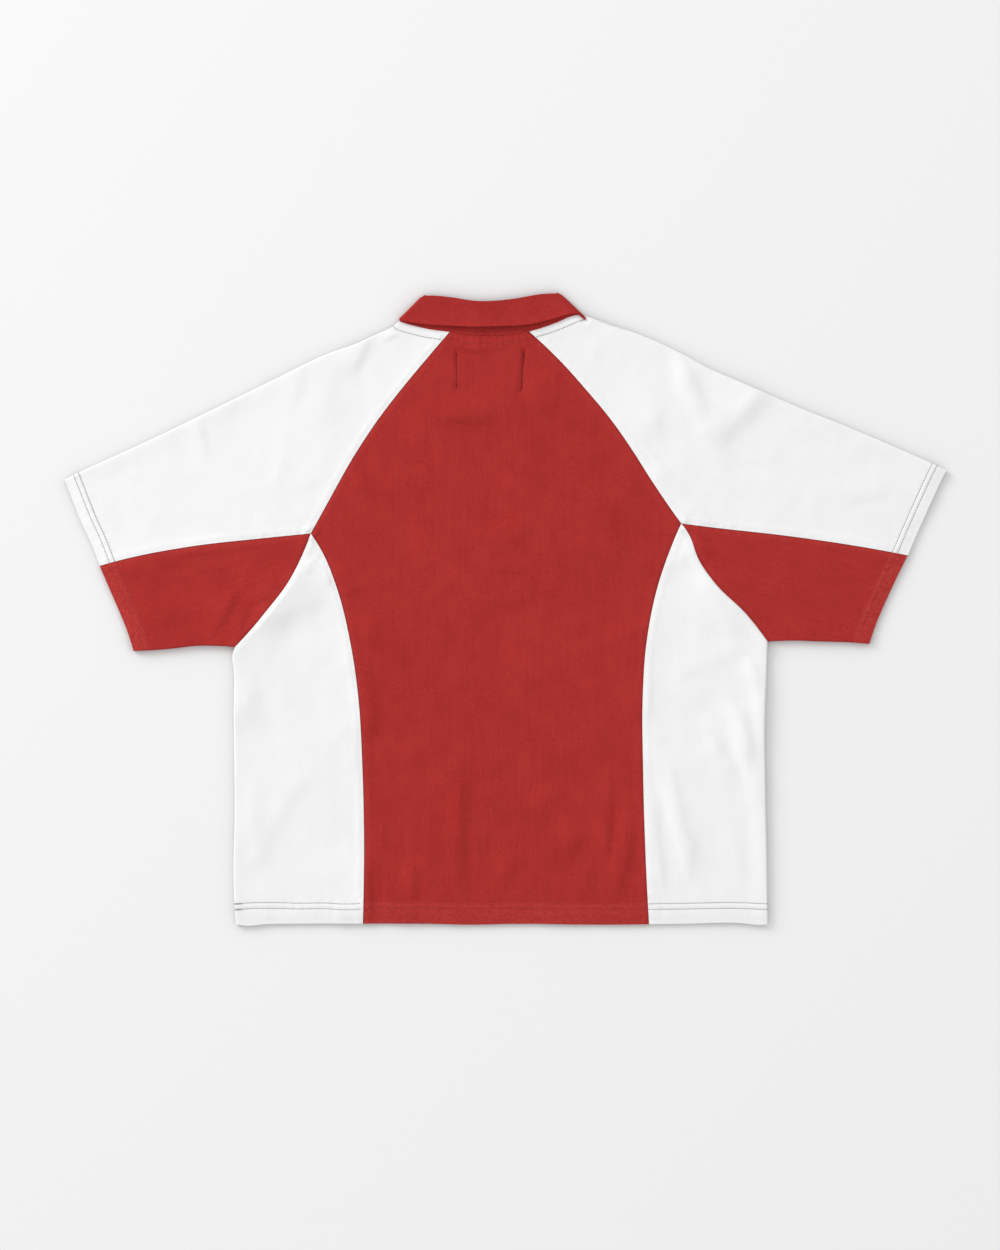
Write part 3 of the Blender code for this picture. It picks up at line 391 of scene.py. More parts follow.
# Slow waves of the cloth, the dip and swell below the collar, and the drop at the open edges.
surface = dict(
    wave=0.00026, waveLength=0.085, wrinkle=0.00012, wrinkleLength=0.034,
    neckDip=0.0005, neckDipWidth=0.0014, neckSwell=0.0005, neckSwellAt=0.0048, neckSwellWidth=0.0034,
    neckRowDip=0.00035, neckRowWidth=0.0011, neckPucker=0.00036, neckPuckerAt=0.0070,
    neckPuckerWidth=0.0055, neckPuckerWave=0.0062, openDrop=0.0014, openWidth=0.0075,
)
# The front layer, face down: hollows between where it rests, grooves and puckers at its seams.
underneath = dict(hollow=0.00035, hollowWave=0.075, groove=0.0005, deepest=0.0009,
                  pucker=0.00012, puckerWave=0.012, puckerWidth=0.008)
# Where the cloth is doubled: how much of the band tone shows, and from and to which distance it fades.
doubled = dict(seam=(0.3, 0.0040, 0.0110), hem=(0.7, 0.0225, 0.0255), cuff=(1.0, 0.0170, 0.0200))


def neckStitchLine():
    # The row below the collar: a set way from the neck seam, and along given points into the right corner.
    line = offsetLine(evenly(neckLine, 400), sewing["neckRow"])
    return np.vstack([line[line[:, 0] < 0.030], smoothLine(sewing["neckRowRight"])])


neckRowLine = neckStitchLine()
tuck = dict(swell=0.0022, swellWidth=0.0085, sink=0.0016, sinkWidth=0.0060, step=0.0011,
            grows=(0.010, 0.060))   # from and to which distance below the underarm
yoke = dict(middle=-0.0180, top=0.3102, slope=0.9, fade=(0.0435, 0.0465))
creaseEnds = dict(share=0.34, width=1.3, reach=2.4)   # fade, of the length and of the width; cut-off
tackPleats = [  # the pinch in the cloth at each label tack: line, depth, width left, right
    ([(-0.0549, 0.2880), (-0.0549, 0.2430)], 0.0013, 0.0020, 0.0020),
    ([(0.0207, 0.2885), (0.0185, 0.2650), (0.0176, 0.2460), (0.0150, 0.2425)], 0.0018, 0.0020, 0.0022),
    ([(0.0207, 0.2880), (0.0205, 0.2770)], 0.0010, 0.0024, 0.0028),
]


def bandRelief(distance, along, rows, seed):
    # A turned and twin-stitched band: a raised strip, a dip at each row, a swell between
    # the rows and small puckers that cross them.
    inner, outer = max(rows), min(rows)
    middle = (inner + outer) / 2.0
    relief = sewing["bandRise"] * plateau(distance, inner, inner + sewing["bandFade"])
    for row in rows:
        relief = relief - sewing["rowDip"] * bell(distance - row, sewing["rowWidth"])
    relief = relief + sewing["tunnel"] * bell(distance - middle, sewing["tunnelWidth"])
    width = sewing["bandPuckerWidth"]
    pinch = bell(distance - middle, width) * wobble(along, seed, width)
    return relief + sewing["pucker"] * sewing["bandPucker"] * pinch


def seamRelief(points, seams, seed):
    # Beside each seam the allowance inside makes a low swell, crossed by small puckers.
    relief = np.zeros(points.shape[:-1])
    crumple = ripple(points, seed + 90, sewing["crumpleWave"])
    for number, seam in enumerate(seams):
        gap, along = lineDistance(points, seam)
        swell = bell(gap - sewing["allowanceAt"], sewing["allowanceWidth"])
        relief += sewing["allowance"] * swell
        waves = wobble(along, seed + number, sewing["puckerWave"]) + 0.6 * crumple
        relief += sewing["pucker"] * waves * bell(gap, sewing["puckerWidth"])
    return relief


def seamDip(points):
    # How far red cloth rolls down where it meets white cloth at a seam.
    gap = nearest(points, *backSeams)
    return sewing["seamDip"] * bell(gap, sewing["seamWidth"])


def creaseRelief(points):
    # Each crease is a ridge along a line, a bell curve across with its own width on each
    # side, that dies out over the last third at both ends, or further where it is broad.
    relief = np.zeros(points.shape[:-1])
    for line, height, *widths in creases:
        line, (left, right) = metres(line), metres(widths)
        reach = creaseEnds["reach"] * max(left, right)
        near = np.all((points > line.min(axis=0) - reach) & (points < line.max(axis=0) + reach), axis=-1)
        if not near.any():
            continue
        side, along = lineSide(points[near], line)
        length = lineLength(line)
        fade = min(max(creaseEnds["share"] * length, creaseEnds["width"] * max(left, right)), 0.5 * length)
        ends = plateau(fade - along, 0.0, fade) * plateau(along - (length - fade), 0.0, fade)
        relief[near] += height / 100000.0 * ends * bell(side, np.where(side > 0.0, left, right))
    return relief


def armholeTuck(points):
    # At the right armhole the side panel swells and the sleeve lies lower beside it: a smooth
    # step across the seam, times a bell on each side, growing from the underarm down.
    side, along = lineSide(points, onRight["armhole"])
    onPanel = 0.5 - 0.5 * np.tanh(side / tuck["step"])
    grown = 1.0 - plateau(along, *tuck["grows"])
    swell = tuck["swell"] * bell(side, tuck["swellWidth"])
    sink = tuck["sink"] * bell(side, tuck["sinkWidth"])
    return grown * (onPanel * swell - (1.0 - onPanel) * sink)


def frontLift(points):
    # Underside of the front layer: flat on the table, raised over collar leaves and placket.
    leaf = cloth["leafLift"] * plateau(nearest(points, frontNeckLine), *cloth["leafFade"])
    strip = cloth["placketLift"] * plateau(nearest(points, placketLine), *cloth["stripFade"])
    return np.maximum(leaf, strip)


def frontSkin(points):
    # The same, plus ripples cut off below zero, plus a bell groove and puckers at each seam.
    lift = frontLift(points)
    hollow = np.clip(ripple(points, 31, underneath["hollowWave"]), 0.0, None) * underneath["hollow"]
    groove = 0.0
    for number, seam in enumerate(frontSeams):
        gap, along = lineDistance(points, seam)
        waves = 1 + wobble(along, 60 + number, underneath["puckerWave"])
        groove = groove + underneath["groove"] * bell(gap, sewing["seamWidth"])
        groove = groove + underneath["pucker"] * waves * bell(gap, underneath["puckerWidth"])
    return lift + hollow + np.minimum(groove, underneath["deepest"])


def backRise(points):
    # Underside of the back layer: base height, plump folded edges and the creases.
    neck = nearest(points, neckLine)
    rise = cloth["rise"] + cloth["neckRise"] * plateau(neck, *cloth["neckFade"])
    rise = rise + cloth["placketRise"] * plateau(nearest(points, placketLine), *cloth["placketFade"])
    edge = nearest(points, *foldLines)
    plump = bell(edge, cloth["edgeWidth"]) * (1.0 - plateau(neck, *cloth["edgeFade"]))
    rise = rise + cloth["edgePlump"] * plump + armholeTuck(points)
    return rise + creaseRelief(points) * (1.0 - plateau(neck, *cloth["creaseFade"]))


def onRedNeck(points):
    # 1 on the red yoke and 0 past the raglan seams beside it.
    beside = np.abs(points[..., 0] - yoke["middle"]) - (yoke["top"] - points[..., 1]) * yoke["slope"]
    return plateau(beside, *yoke["fade"])


def edgeDrop(points):
    # How far the back layer comes down towards the table at the open edges.
    gap = nearest(points, hemLine, *cuffLines.values())
    return surface["openDrop"] * bell(gap, surface["openWidth"])


def backSkin(points):
    # Outer face of the back layer: its rise and wall, then seams, bands, creases and ripple.
    neck, neckAlong = lineDistance(points, neckLine)
    hem, hemAlong = lineDistance(points, hemStitchLine)
    calm = 1.0 - plateau(neck, *cloth["calmFade"])
    skin = backRise(points) + cloth["wall"]
    skin = skin + calm * (surface["wave"] * ripple(points, 3, surface["waveLength"])
                          + surface["wrinkle"] * ripple(points, 5, surface["wrinkleLength"]))
    skin = skin + seamRelief(points, backSeams, 11)
    skin = skin + bandRelief(hem, hemAlong, sewing["hemRows"], 41)
    for line in cuffLines.values():
        cuff, cuffAlong = lineDistance(points, line)
        skin = skin + bandRelief(cuff, cuffAlong, sewing["cuffRows"], 43)
    row = nearest(points, neckRowLine)
    skin = skin - surface["neckDip"] * bell(neck, surface["neckDipWidth"])
    skin = skin + surface["neckSwell"] * bell(neck - surface["neckSwellAt"], surface["neckSwellWidth"])
    skin = skin - surface["neckRowDip"] * bell(row, surface["neckRowWidth"])
    waves = wobble(neckAlong, 47, surface["neckPuckerWave"]) + 0.5 * ripple(points, 49, 0.006)
    pinch = waves * (0.3 + 0.7 * onRedNeck(points))
    pinch = pinch * bell(neck - surface["neckPuckerAt"], surface["neckPuckerWidth"])
    skin = skin + surface["neckPucker"] * pinch
    skin = skin - edgeDrop(points)
    for line, depth, left, right in tackPleats:
        side = lineSide(points, np.array(line))[0]
        skin = skin - depth * bell(side, np.where(side > 0.0, left, right))
    return skin


def bandShare(points):
    # How much of the band tone shows: the most of the seams', the hem's and the cuffs' plateaus.
    groups = dict(seam=backSeams, hem=[hemLine], cuff=cuffLines.values())
    return np.max([share * plateau(nearest(points, *groups[name]), start, end)
                   for name, (share, start, end) in doubled.items()], axis=0)


# Meshes.

def foldReach(points):
    # How far outside its inner line a folded edge ends.
    half = (backSkin(points) - frontSkin(points)) / 2.0
    return np.maximum(cloth["foldRound"] * half, cloth["wall"] + 0.0002)


def lay(points, height):
    # Plan points with a height each.
    return np.concatenate([points, np.broadcast_to(height, points.shape[:-1])[..., None]], axis=-1)


def gridBetween(firstRow, lastRow, firstColumn, lastColumn, across, down):
    # Plan grid inside four lines: the two ways of ruling it are added, less the corners.
    u, v = across[None, :, None], down[:, None, None]
    ruled = (1 - v) * firstRow[None] + v * lastRow[None] + (1 - u) * firstColumn[:, None]
    corners = ((1 - v) * ((1 - u) * firstRow[0] + u * firstRow[-1])
               + v * ((1 - u) * lastRow[0] + u * lastRow[-1]))
    return ruled + u * lastColumn[:, None] - corners


def meshFrom(name, points, faces, material, texture=None, band=None):
    # Puts whole arrays of points and four-cornered faces into a mesh object.
    used, faces = np.unique(faces, return_inverse=True)
    faces = faces.reshape(-1, 4)
    mesh = bpy.data.meshes.new(name)
    mesh.vertices.add(len(used))
    mesh.vertices.foreach_set("co", points.reshape(-1, 3)[used].astype(np.float32).ravel())
    mesh.loops.add(faces.size)
    mesh.loops.foreach_set("vertex_index", faces.astype(np.int32).ravel())
    mesh.polygons.add(len(faces))
    mesh.polygons.foreach_set("loop_start", np.arange(0, faces.size, 4, dtype=np.int32))
    mesh.update(calc_edges=True)
    if texture is not None:
        layer = mesh.uv_layers.new(name="knit")
        layer.data.foreach_set("uv", texture.reshape(-1, 2)[used][faces].astype(np.float32).ravel())
    if band is not None:
        layer = mesh.attributes.new("band", "FLOAT", "POINT")
        layer.data.foreach_set("value", band.ravel()[used].astype(np.float32))
    mesh.validate()
    mesh.shade_smooth()
    mesh.materials.append(material)
    piece = bpy.data.objects.new(name, mesh)
    bpy.context.scene.collection.objects.link(piece)
    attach(piece, "root")
    return piece


rims = dict(red=0.00040, white=0.00014, turn=62.0)   # rounding of a wall's edges, and from which angle


def wallPiece(name, outer, inner, material, grain=0.0, keep=None, texture=None,
              rim=rims["red"], band=None):
    # Closed wall: the outer grid, the inner grid turned over, and a strip round each border.
    rows, columns = outer.shape[:2]
    count = rows * columns
    keep = np.ones((rows - 1, columns - 1), dtype=bool) if keep is None else keep
    index = np.arange(count).reshape(rows, columns)
    a, b, c, d = index[:-1, :-1], index[:-1, 1:], index[1:, 1:], index[1:, :-1]
    faces = [np.stack([a, b, c, d], axis=-1)[keep], np.stack([d, c, b, a], axis=-1)[keep] + count]
    padded = np.pad(keep, 1)
    borders = [(a, b, padded[:-2, 1:-1]), (b, c, padded[1:-1, 2:]),
               (c, d, padded[2:, 1:-1]), (d, a, padded[1:-1, :-2])]
    for start, end, beside in borders:
        edge = keep & ~beside
        faces.append(np.stack([end, start, start + count, end + count], axis=-1)[edge])
    faces = np.vstack(faces)
    first = outer[rows // 2, 1] - outer[rows // 2, 0]
    second = outer[rows // 2 + 1, 0] - outer[rows // 2, 0]
    if np.cross(first, second)[2] < 0.0:
        faces = faces[:, ::-1]
    points = np.concatenate([outer.reshape(-1, 3), inner.reshape(-1, 3)])
    turn = np.radians(grain)
    flat = points[:, :2] + points[:, 2:3] if texture is None else np.tile(texture.reshape(-1, 2), (2, 1))
    texture = np.column_stack([flat[:, 0] * np.cos(turn) + flat[:, 1] * np.sin(turn),
                               flat[:, 1] * np.cos(turn) - flat[:, 0] * np.sin(turn)])
    band = None if band is None else np.concatenate([band.ravel()] * 2)
    piece = meshFrom(name, points, faces, material, texture, band)
    soft = piece.modifiers.new("rim", "BEVEL")
    soft.width = rim
    soft.segments = 2
    soft.limit_method = "ANGLE"
    soft.angle_limit = np.radians(rims["turn"])
    return piece


def easeBoth(cells):
    # Shares from 0 to 1 that crowd together at both ends.
    t = np.linspace(0.0, 1.0, cells + 1)
    return t - cloth["grip"] * np.sin(2 * np.pi * t) / (2 * np.pi)


def easeStart(cells):
    # Shares from 0 to 1 that crowd together at the start only.
    t = np.linspace(0.0, 1.0, cells + 1)
    return t - cloth["grip"] * np.sin(np.pi * t) / np.pi


def stitchedShares(length, zone):
    # Shares along a panel whose last stretch, `zone` long, is stitched and has fine steps.
    zoneSteps = max(int(zone / cloth["stitchZoneCell"]), 2)
    bodySteps = max(int((length - zone) / cloth["cell"]), 4)
    body = easeStart(bodySteps) * (1.0 - zone / length)
    return np.concatenate([body, np.linspace(body[-1], 1.0, zoneSteps + 1)[1:]])


# Materials.

def node(tree, kind, out, values, **settings):
    # A node with its settings; each input named gets a number, or a link from a socket.
    new = tree.nodes.new("ShaderNode" + kind)
    for name, value in settings.items():
        setattr(new, name, value)
    for place, value in values.items():
        if isinstance(value, bpy.types.NodeSocket):
            tree.links.new(value, new.inputs[place])
        elif value is not None:
            new.inputs[place].default_value = value
    return new.outputs[out]


def mathNode(tree, kind, first, second=None):
    # One sum of two values, each a number or a socket.
    return node(tree, "Math", 0, {0: first, 1: second}, operation=kind)


def noiseNode(tree, place, scale, detail=2.0, rough=0.55):
    # Noise with so many lumps a metre.
    return node(tree, "TexNoise", "Fac",
                {"Vector": place, "Scale": scale, "Detail": detail, "Roughness": rough})


def tintNode(tree, fac, dark, light, low=0.3, high=0.7):
    # Dark below `low`, light above `high`, a straight blend between them.
    tint = node(tree, "ValToRGB", "Color", {"Fac": fac})
    for element, place, colour in zip(tint.node.color_ramp.elements, (low, high), (dark, light)):
        element.position = place
        element.color = (*colour, 1.0)
    return tint


def weighted(tree, parts):
    # Sum of sockets, each times its own weight.
    total = mathNode(tree, "MULTIPLY", *parts[0])
    for part in parts[1:]:
        total = mathNode(tree, "ADD", total, mathNode(tree, "MULTIPLY", *part))
    return total


def bumpNode(tree, height, distance, strength=1.0, under=None):
    # Relief in the shading only, on top of another one if given.
    return node(tree, "Bump", "Normal",
                {"Distance": distance, "Strength": strength, "Height": height, "Normal": under})


def shaded(name, roughness, sheen=0.0, sheenRoughness=0.5, specular=0.3, sheenTint=(1.0, 1.0, 1.0)):
    # New material with its plain values: the material, its tree and its shader.
    material = bpy.data.materials.new(name)
    material.use_nodes = True
    tree = material.node_tree
    shader = tree.nodes["Principled BSDF"]
    values = {"Roughness": roughness, "Sheen Weight": sheen, "Sheen Roughness": sheenRoughness,
              "Sheen Tint": (*sheenTint, 1.0), "Specular IOR Level": specular}
    for socket, value in values.items():
        shader.inputs[socket].default_value = value
    return material, tree, shader


def finished(material, shader, colour, normal=None):
    # Joins the colour, and the relief if there is one, to the shader.
    for socket, value in (("Base Color", colour), ("Normal", normal)):
        if value is not None:
            material.node_tree.links.new(value, shader.inputs[socket])
    return material


def places(tree):
    # Where a spot is: in the piece's own space, and in the flat knit as one vector and as X, Y.
    flat = node(tree, "UVMap", "UV", {}, uv_map="knit")
    x, y = node(tree, "SeparateXYZ", 0, {"Vector": flat}).node.outputs[:2]
    return node(tree, "TexCoord", "Object", {}), flat, x, y


jersey = dict(wale=0.00105, course=0.00085, knitDepth=0.00012, fuzzDepth=0.00016, fuzzScale=950.0,
              grainScale=430.0, blotchScale=42.0, slubScale=11.0, streak=(260.0, 14.0), bandScale=330.0)


def yarnNoises(tree, place):
    # Three noises of the yarn: its fuzz, the blotches of dye and a middling grain.
    return (noiseNode(tree, place, jersey["fuzzScale"], 3.0),
            noiseNode(tree, place, jersey["blotchScale"], 4.0, 0.6),
            noiseNode(tree, place, jersey["grainScale"], 3.0, 0.6))


def jerseyCloth(name, dark, light, bandDark, bandLight, bandWeight):
    # Plain knit: columns of small V stitches, fuzz between them, uneven dye, faint streaks
    # down the columns, and a lighter, mottled tone on the hem and cuff bands and beside the seams.
    material, tree, shader = shaded(name, 0.95, sheen=0.10, sheenRoughness=0.45, specular=0.08,
                                    sheenTint=light)
    place, flat, x, y = places(tree)
    column = mathNode(tree, "DIVIDE", x, jersey["wale"])
    leg = mathNode(tree, "ABSOLUTE", mathNode(tree, "SUBTRACT", mathNode(tree, "FRACT", column), 0.5))
    row = mathNode(tree, "DIVIDE", y, jersey["course"])
    slant = mathNode(tree, "ADD", row, mathNode(tree, "MULTIPLY", leg, 1.1))
    loop = mathNode(tree, "SINE", mathNode(tree, "MULTIPLY", slant, 2 * np.pi))
    groove = mathNode(tree, "COSINE", mathNode(tree, "MULTIPLY", column, 2 * np.pi))
    knit = weighted(tree, ((loop, 0.45), (groove, -0.55)))
    fuzz, blotch, grain = yarnNoises(tree, place)
    slub = noiseNode(tree, place, jersey["slubScale"], 3.0)
    drawn = node(tree, "Mapping", "Vector", {"Vector": flat, "Scale": (*jersey["streak"], 1.0)})
    streak = noiseNode(tree, drawn, 1.0, 2.0)
    mixed = weighted(tree, ((blotch, 0.26), (slub, 0.16), (grain, 0.42), (streak, 0.16)))
    plain = tintNode(tree, mixed, dark, light, 0.40, 0.60)
    mottle = noiseNode(tree, place, jersey["bandScale"], 2.0, 0.6)
    mottled = tintNode(tree, mottle, bandDark, bandLight, 0.38, 0.62)
    band = node(tree, "Attribute", "Fac", {}, attribute_name="band")
    share = mathNode(tree, "MULTIPLY", band, bandWeight)
    # Sockets 6 and 7 of a colour mix are its two colours, socket 2 of the outputs its result.
    colour = node(tree, "Mix", 2, {0: share, 6: plain, 7: mottled}, data_type="RGBA")
    weave = bumpNode(tree, knit, jersey["knitDepth"], 0.8)
    return finished(material, shader, colour, bumpNode(tree, fuzz, jersey["fuzzDepth"], 0.9, weave))


rib = dict(pitch=0.0018, depth=0.00050, course=0.0011, fuzzDepth=0.00016)


def ribKnit(name, dark, light):
    # Rib knit: rounded ribs across the collar, fine courses along it, and fuzz.
    material, tree, shader = shaded(name, 0.95, sheen=0.10, specular=0.08, sheenTint=light)
    place, flat, x, y = places(tree)
    ribs = mathNode(tree, "SINE", mathNode(tree, "MULTIPLY", x, 2 * np.pi / rib["pitch"]))
    courses = mathNode(tree, "SINE", mathNode(tree, "MULTIPLY", y, 2 * np.pi / rib["course"]))
    relief = mathNode(tree, "ADD", ribs, mathNode(tree, "MULTIPLY", courses, 0.25))
    fuzz, blotch, grain = yarnNoises(tree, place)
    shade = weighted(tree, ((blotch, 0.40), (grain, 0.60)))
    knit = bumpNode(tree, relief, rib["depth"], 0.5)
    return finished(material, shader, tintNode(tree, shade, dark, light, 0.38, 0.62),
                    bumpNode(tree, fuzz, rib["fuzzDepth"], 0.9, knit))


def threadFinish(name, dark, light):
    # Spun thread: fine bands of two tones, with a soft gloss.
    material, tree, shader = shaded(name, 0.7, sheen=0.05, specular=0.15)
    twist = noiseNode(tree, node(tree, "TexCoord", "Object", {}), 2600.0, 2.0)
    return finished(material, shader, tintNode(tree, twist, dark, light, 0.35, 0.65),
                    bumpNode(tree, twist, 0.00008, 0.8))


def buttonFinish(name, dark, light):
    # Cast resin: slow clouds of two tones under a satin coat.
    material, tree, shader = shaded(name, 0.3, specular=0.5)
    shader.inputs["Coat Weight"].default_value = 0.25
    place = node(tree, "TexCoord", "Object", {})
    return finished(material, shader, tintNode(tree, noiseNode(tree, place, 320.0, 3.0), dark, light),
                    bumpNode(tree, noiseNode(tree, place, 900.0, 2.0), 0.00003, 0.5))


redJersey = jerseyCloth("red_jersey", (0.345, 0.0235, 0.0210), (0.415, 0.0325, 0.0290),
                        (0.380, 0.0300, 0.0265), (0.500, 0.0560, 0.0500), 0.6)
whiteJersey = jerseyCloth("white_jersey", (0.838, 0.838, 0.841), (0.868, 0.868, 0.869),
                          (0.800, 0.800, 0.804), (0.930, 0.930, 0.930), 0.3)
redRib = ribKnit("red_rib", (0.335, 0.0230, 0.0205), (0.410, 0.0320, 0.0290))
redThread = threadFinish("red_thread", (0.34, 0.029, 0.026), (0.47, 0.050, 0.045))
# The thread on white cloth is given a dark grey: painted shade, standing in for the shadow of the groove
# its rows sink into.
whiteThreadPaintedShade = threadFinish("white_thread", (0.26, 0.26, 0.265), (0.36, 0.36, 0.365))
tackThread = threadFinish("red_tack_thread", (0.12, 0.010, 0.009), (0.20, 0.017, 0.015))
redButton = buttonFinish("red_button", (0.33, 0.026, 0.024), (0.44, 0.045, 0.040))
print("materials ready")


# Panels.

def foldAxis(line, outStart=None):
    # A folded edge turns round an inner line: its outward way and its reach from the edge.
    tangent = unit(np.gradient(line, axis=0))
    outward = np.column_stack([-tangent[:, 1], tangent[:, 0]])
    if np.sum((line - np.array([0.0, 0.05])) * outward) < 0.0:
        outward = -outward
    if outStart is not None:
        blend = np.exp(-np.linalg.norm(line - line[0], axis=1) / 0.012)[:, None]
        outward = outward * (1 - blend) + np.array(outStart) * blend
    outward = unit(outward)
    reach = foldReach(line)
    return line - outward * reach[:, None], outward, reach


def wrappedPiece(name, back, front, outward, reach, material, slot, grain):
    # The back grid, half an ellipse round the fold's inner line, and the front grid below.
    axis = back[:, -1]
    isRed = slot == "red_jersey"
    top, bottom = backSkin(axis), frontSkin(axis)
    middle, half = (top + bottom) / 2.0, (top - bottom) / 2.0
    turn = np.radians(np.linspace(90.0, -90.0, cloth["foldSteps"] + 1))[1:-1]
    # The knit is unrolled: past the fold's inner line it goes on outwards, along the fold.
    ring = np.stack([np.r_[0.0, np.cos(turn), 0.0] * reach[:, None],
                     np.r_[1.0, np.sin(turn), -1.0] * half[:, None]])
    arc = np.cumsum(np.hypot(*np.diff(ring, axis=2)), axis=1)
    beyond = np.sum((axis[:, None] - front) * outward[:, None], axis=-1) * 2.0 + arc[:, -1:]
    texture = np.concatenate([back, axis[:, None] + outward[:, None] * arc[:, :-1, None],
                              front + outward[:, None] * beyond[..., None]], axis=1)
    skins = []
    for wall in (0.0, cloth["wall"]):
        over = lay(back, backSkin(back) - wall - isRed * seamDip(back))
        under = lay(front, frontSkin(front) + wall)
        out = (reach - wall)[:, None, None] * np.cos(turn)[None, :, None] * outward[:, None]
        height = middle[:, None] + (half - wall)[:, None] * np.sin(turn)[None, :]
        skins.append(np.concatenate([over, lay(axis[:, None] + out, height), under], axis=1))
    band = np.concatenate([bandShare(back), np.repeat(bandShare(axis)[:, None], len(turn), axis=1),
                           bandShare(front)], axis=1)
    return wallPiece(name, skins[0], skins[1], material, grain, texture=texture,
                     rim=rims["red" if isRed else "white"], band=band)


hemZone, cuffZone = 0.028, 0.024          # stretch with fine steps for the stitched band
sleeveWidth, lowWidth = 0.17, 0.13        # rough widths, from which the number of columns follows
lowPieces = dict(
    lower_sleeve=dict(fold="underFold", seam="sleeveSeam", end="cuffLower", measured="sleeveSeam",
                      zone=cuffZone, material=redJersey, slot="red_jersey"),
    side_panel=dict(fold="sideFold", seam="sideSeam", end="hem", measured="sideFold",
                    zone=hemZone, material=whiteJersey, slot="white_jersey"),
)


def upperSleeve(side, lines, shoulderShare, grain):
    # From the neck to the cuff, folded along the shoulder: raglan and sleeve seam on each layer.
    toUnderarm = easeStart(int(lineLength(lines["raglanBack"]) / cloth["cell"]))
    toCuff = stitchedShares(lineLength(lines["sleeveSeam"]), cuffZone)
    down = np.concatenate([toUnderarm * shoulderShare, shoulderShare + toCuff[1:] * (1 - shoulderShare)])
    axis, outward, reach = foldAxis(pointsAt(lines["shoulderFold"], down), unit(np.array(creaseOut[side])))
    across = easeStart(int(sleeveWidth / cloth["cell"]))
    cuff = pointsAt(lines["cuffUpper"], across, reach[-1])
    layers = []
    for raglan, neck in (("raglanBack", "neckBack"), ("raglanFront", "neckFront")):
        seam = np.vstack([pointsAt(lines[raglan], toUnderarm), pointsAt(lines["sleeveSeam"], toCuff)[1:]])
        neckline = pointsAt(lines[neck][::-1], across)
        axis[0], axis[-1] = neckline[-1], cuff[-1]
        layers.append(gridBetween(neckline, cuff, seam, axis, across, down))
    piece = wrappedPiece(f"upper_sleeve_{side}_jersey", layers[0], layers[1][:, ::-1], outward, reach,
                         whiteJersey, "white_jersey", grain)
    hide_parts(f"upper_sleeve_{side}")
    return piece


def lowPiece(kind, side, lines, grain):
    # From the armhole to the cuff or the hem, folded along its outer edge. The armhole seam
    # stops short at the fold's inner line.
    cut = lowPieces[kind]
    armhole = lines["armhole"]
    out, short = unit(armhole[-1] - armhole[-4]), float(foldReach(armhole[-1:])[0])
    down = stitchedShares(lineLength(lines[cut["measured"]]), cut["zone"])
    axis, outward, reach = foldAxis(pointsAt(lines[cut["fold"]], down), out)
    across = easeStart(int(lowWidth / cloth["cell"]))
    first = pointsAt(armhole, across, short)
    last = pointsAt(lines[cut["end"]], across, reach[-1])
    axis[0], axis[-1] = first[-1], last[-1]
    plan = gridBetween(first, last, pointsAt(lines[cut["seam"]], down), axis, across, down)
    piece = wrappedPiece(f"{kind}_{side}_jersey", plan, plan[:, ::-1], outward, reach,
                         cut["material"], cut["slot"], grain)
    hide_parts(f"{kind}_{side}")
    return piece


def bodyShares(raglan):
    # Row shares down the raglan seam and then down the side seam, to the hem.
    toUnderarm = easeStart(int(lineLength(fine["left"][raglan]) / cloth["cell"]))
    toHem = stitchedShares(lineLength(fine["left"]["sideSeam"]), hemZone)
    part = len(toUnderarm) / (len(toUnderarm) + len(toHem) * 1.55)
    return toUnderarm, toHem, np.concatenate([toUnderarm * part, part + toHem[1:] * (1 - part)])


def bodyEdges(raglan, toUnderarm, toHem):
    # Both long edges of a body panel: each the raglan seam and then the side seam.
    return [np.vstack([pointsAt(lines[raglan], toUnderarm), pointsAt(lines["sideSeam"], toHem)[1:]])
            for lines in fine.values()]


def backPanel():
    # One grid between the neck, the hem and the seams of both sides.
    toUnderarm, toHem, down = bodyShares("raglanBack")
    across = easeBoth(cloth["bodyColumns"])
    neck, hem = [pointsAt(smoothLine(rows), across) for rows in (neckBackRows, hemBackRows)]
    plan = gridBetween(neck, hem, *bodyEdges("raglanBack", toUnderarm, toHem), across, down)
    skin = backSkin(plan) - seamDip(plan)
    piece = wallPiece("back_panel_jersey", lay(plan, skin), lay(plan, skin - cloth["wall"]),
                      redJersey, band=bandShare(plan))
    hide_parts("back_panel")
    return piece


placket = dict(notch=0.024, bed=0.042, width=0.032, tail=0.004, foot=0.1003, overLift=0.0019,
               rowInset=0.0022, buttonDrops=(0.020, 0.059, 0.098), buttonRadius=0.0055,
               buttonHeight=0.0016, holeAt=0.00125, holeRadius=0.00062, ripple=0.00012)


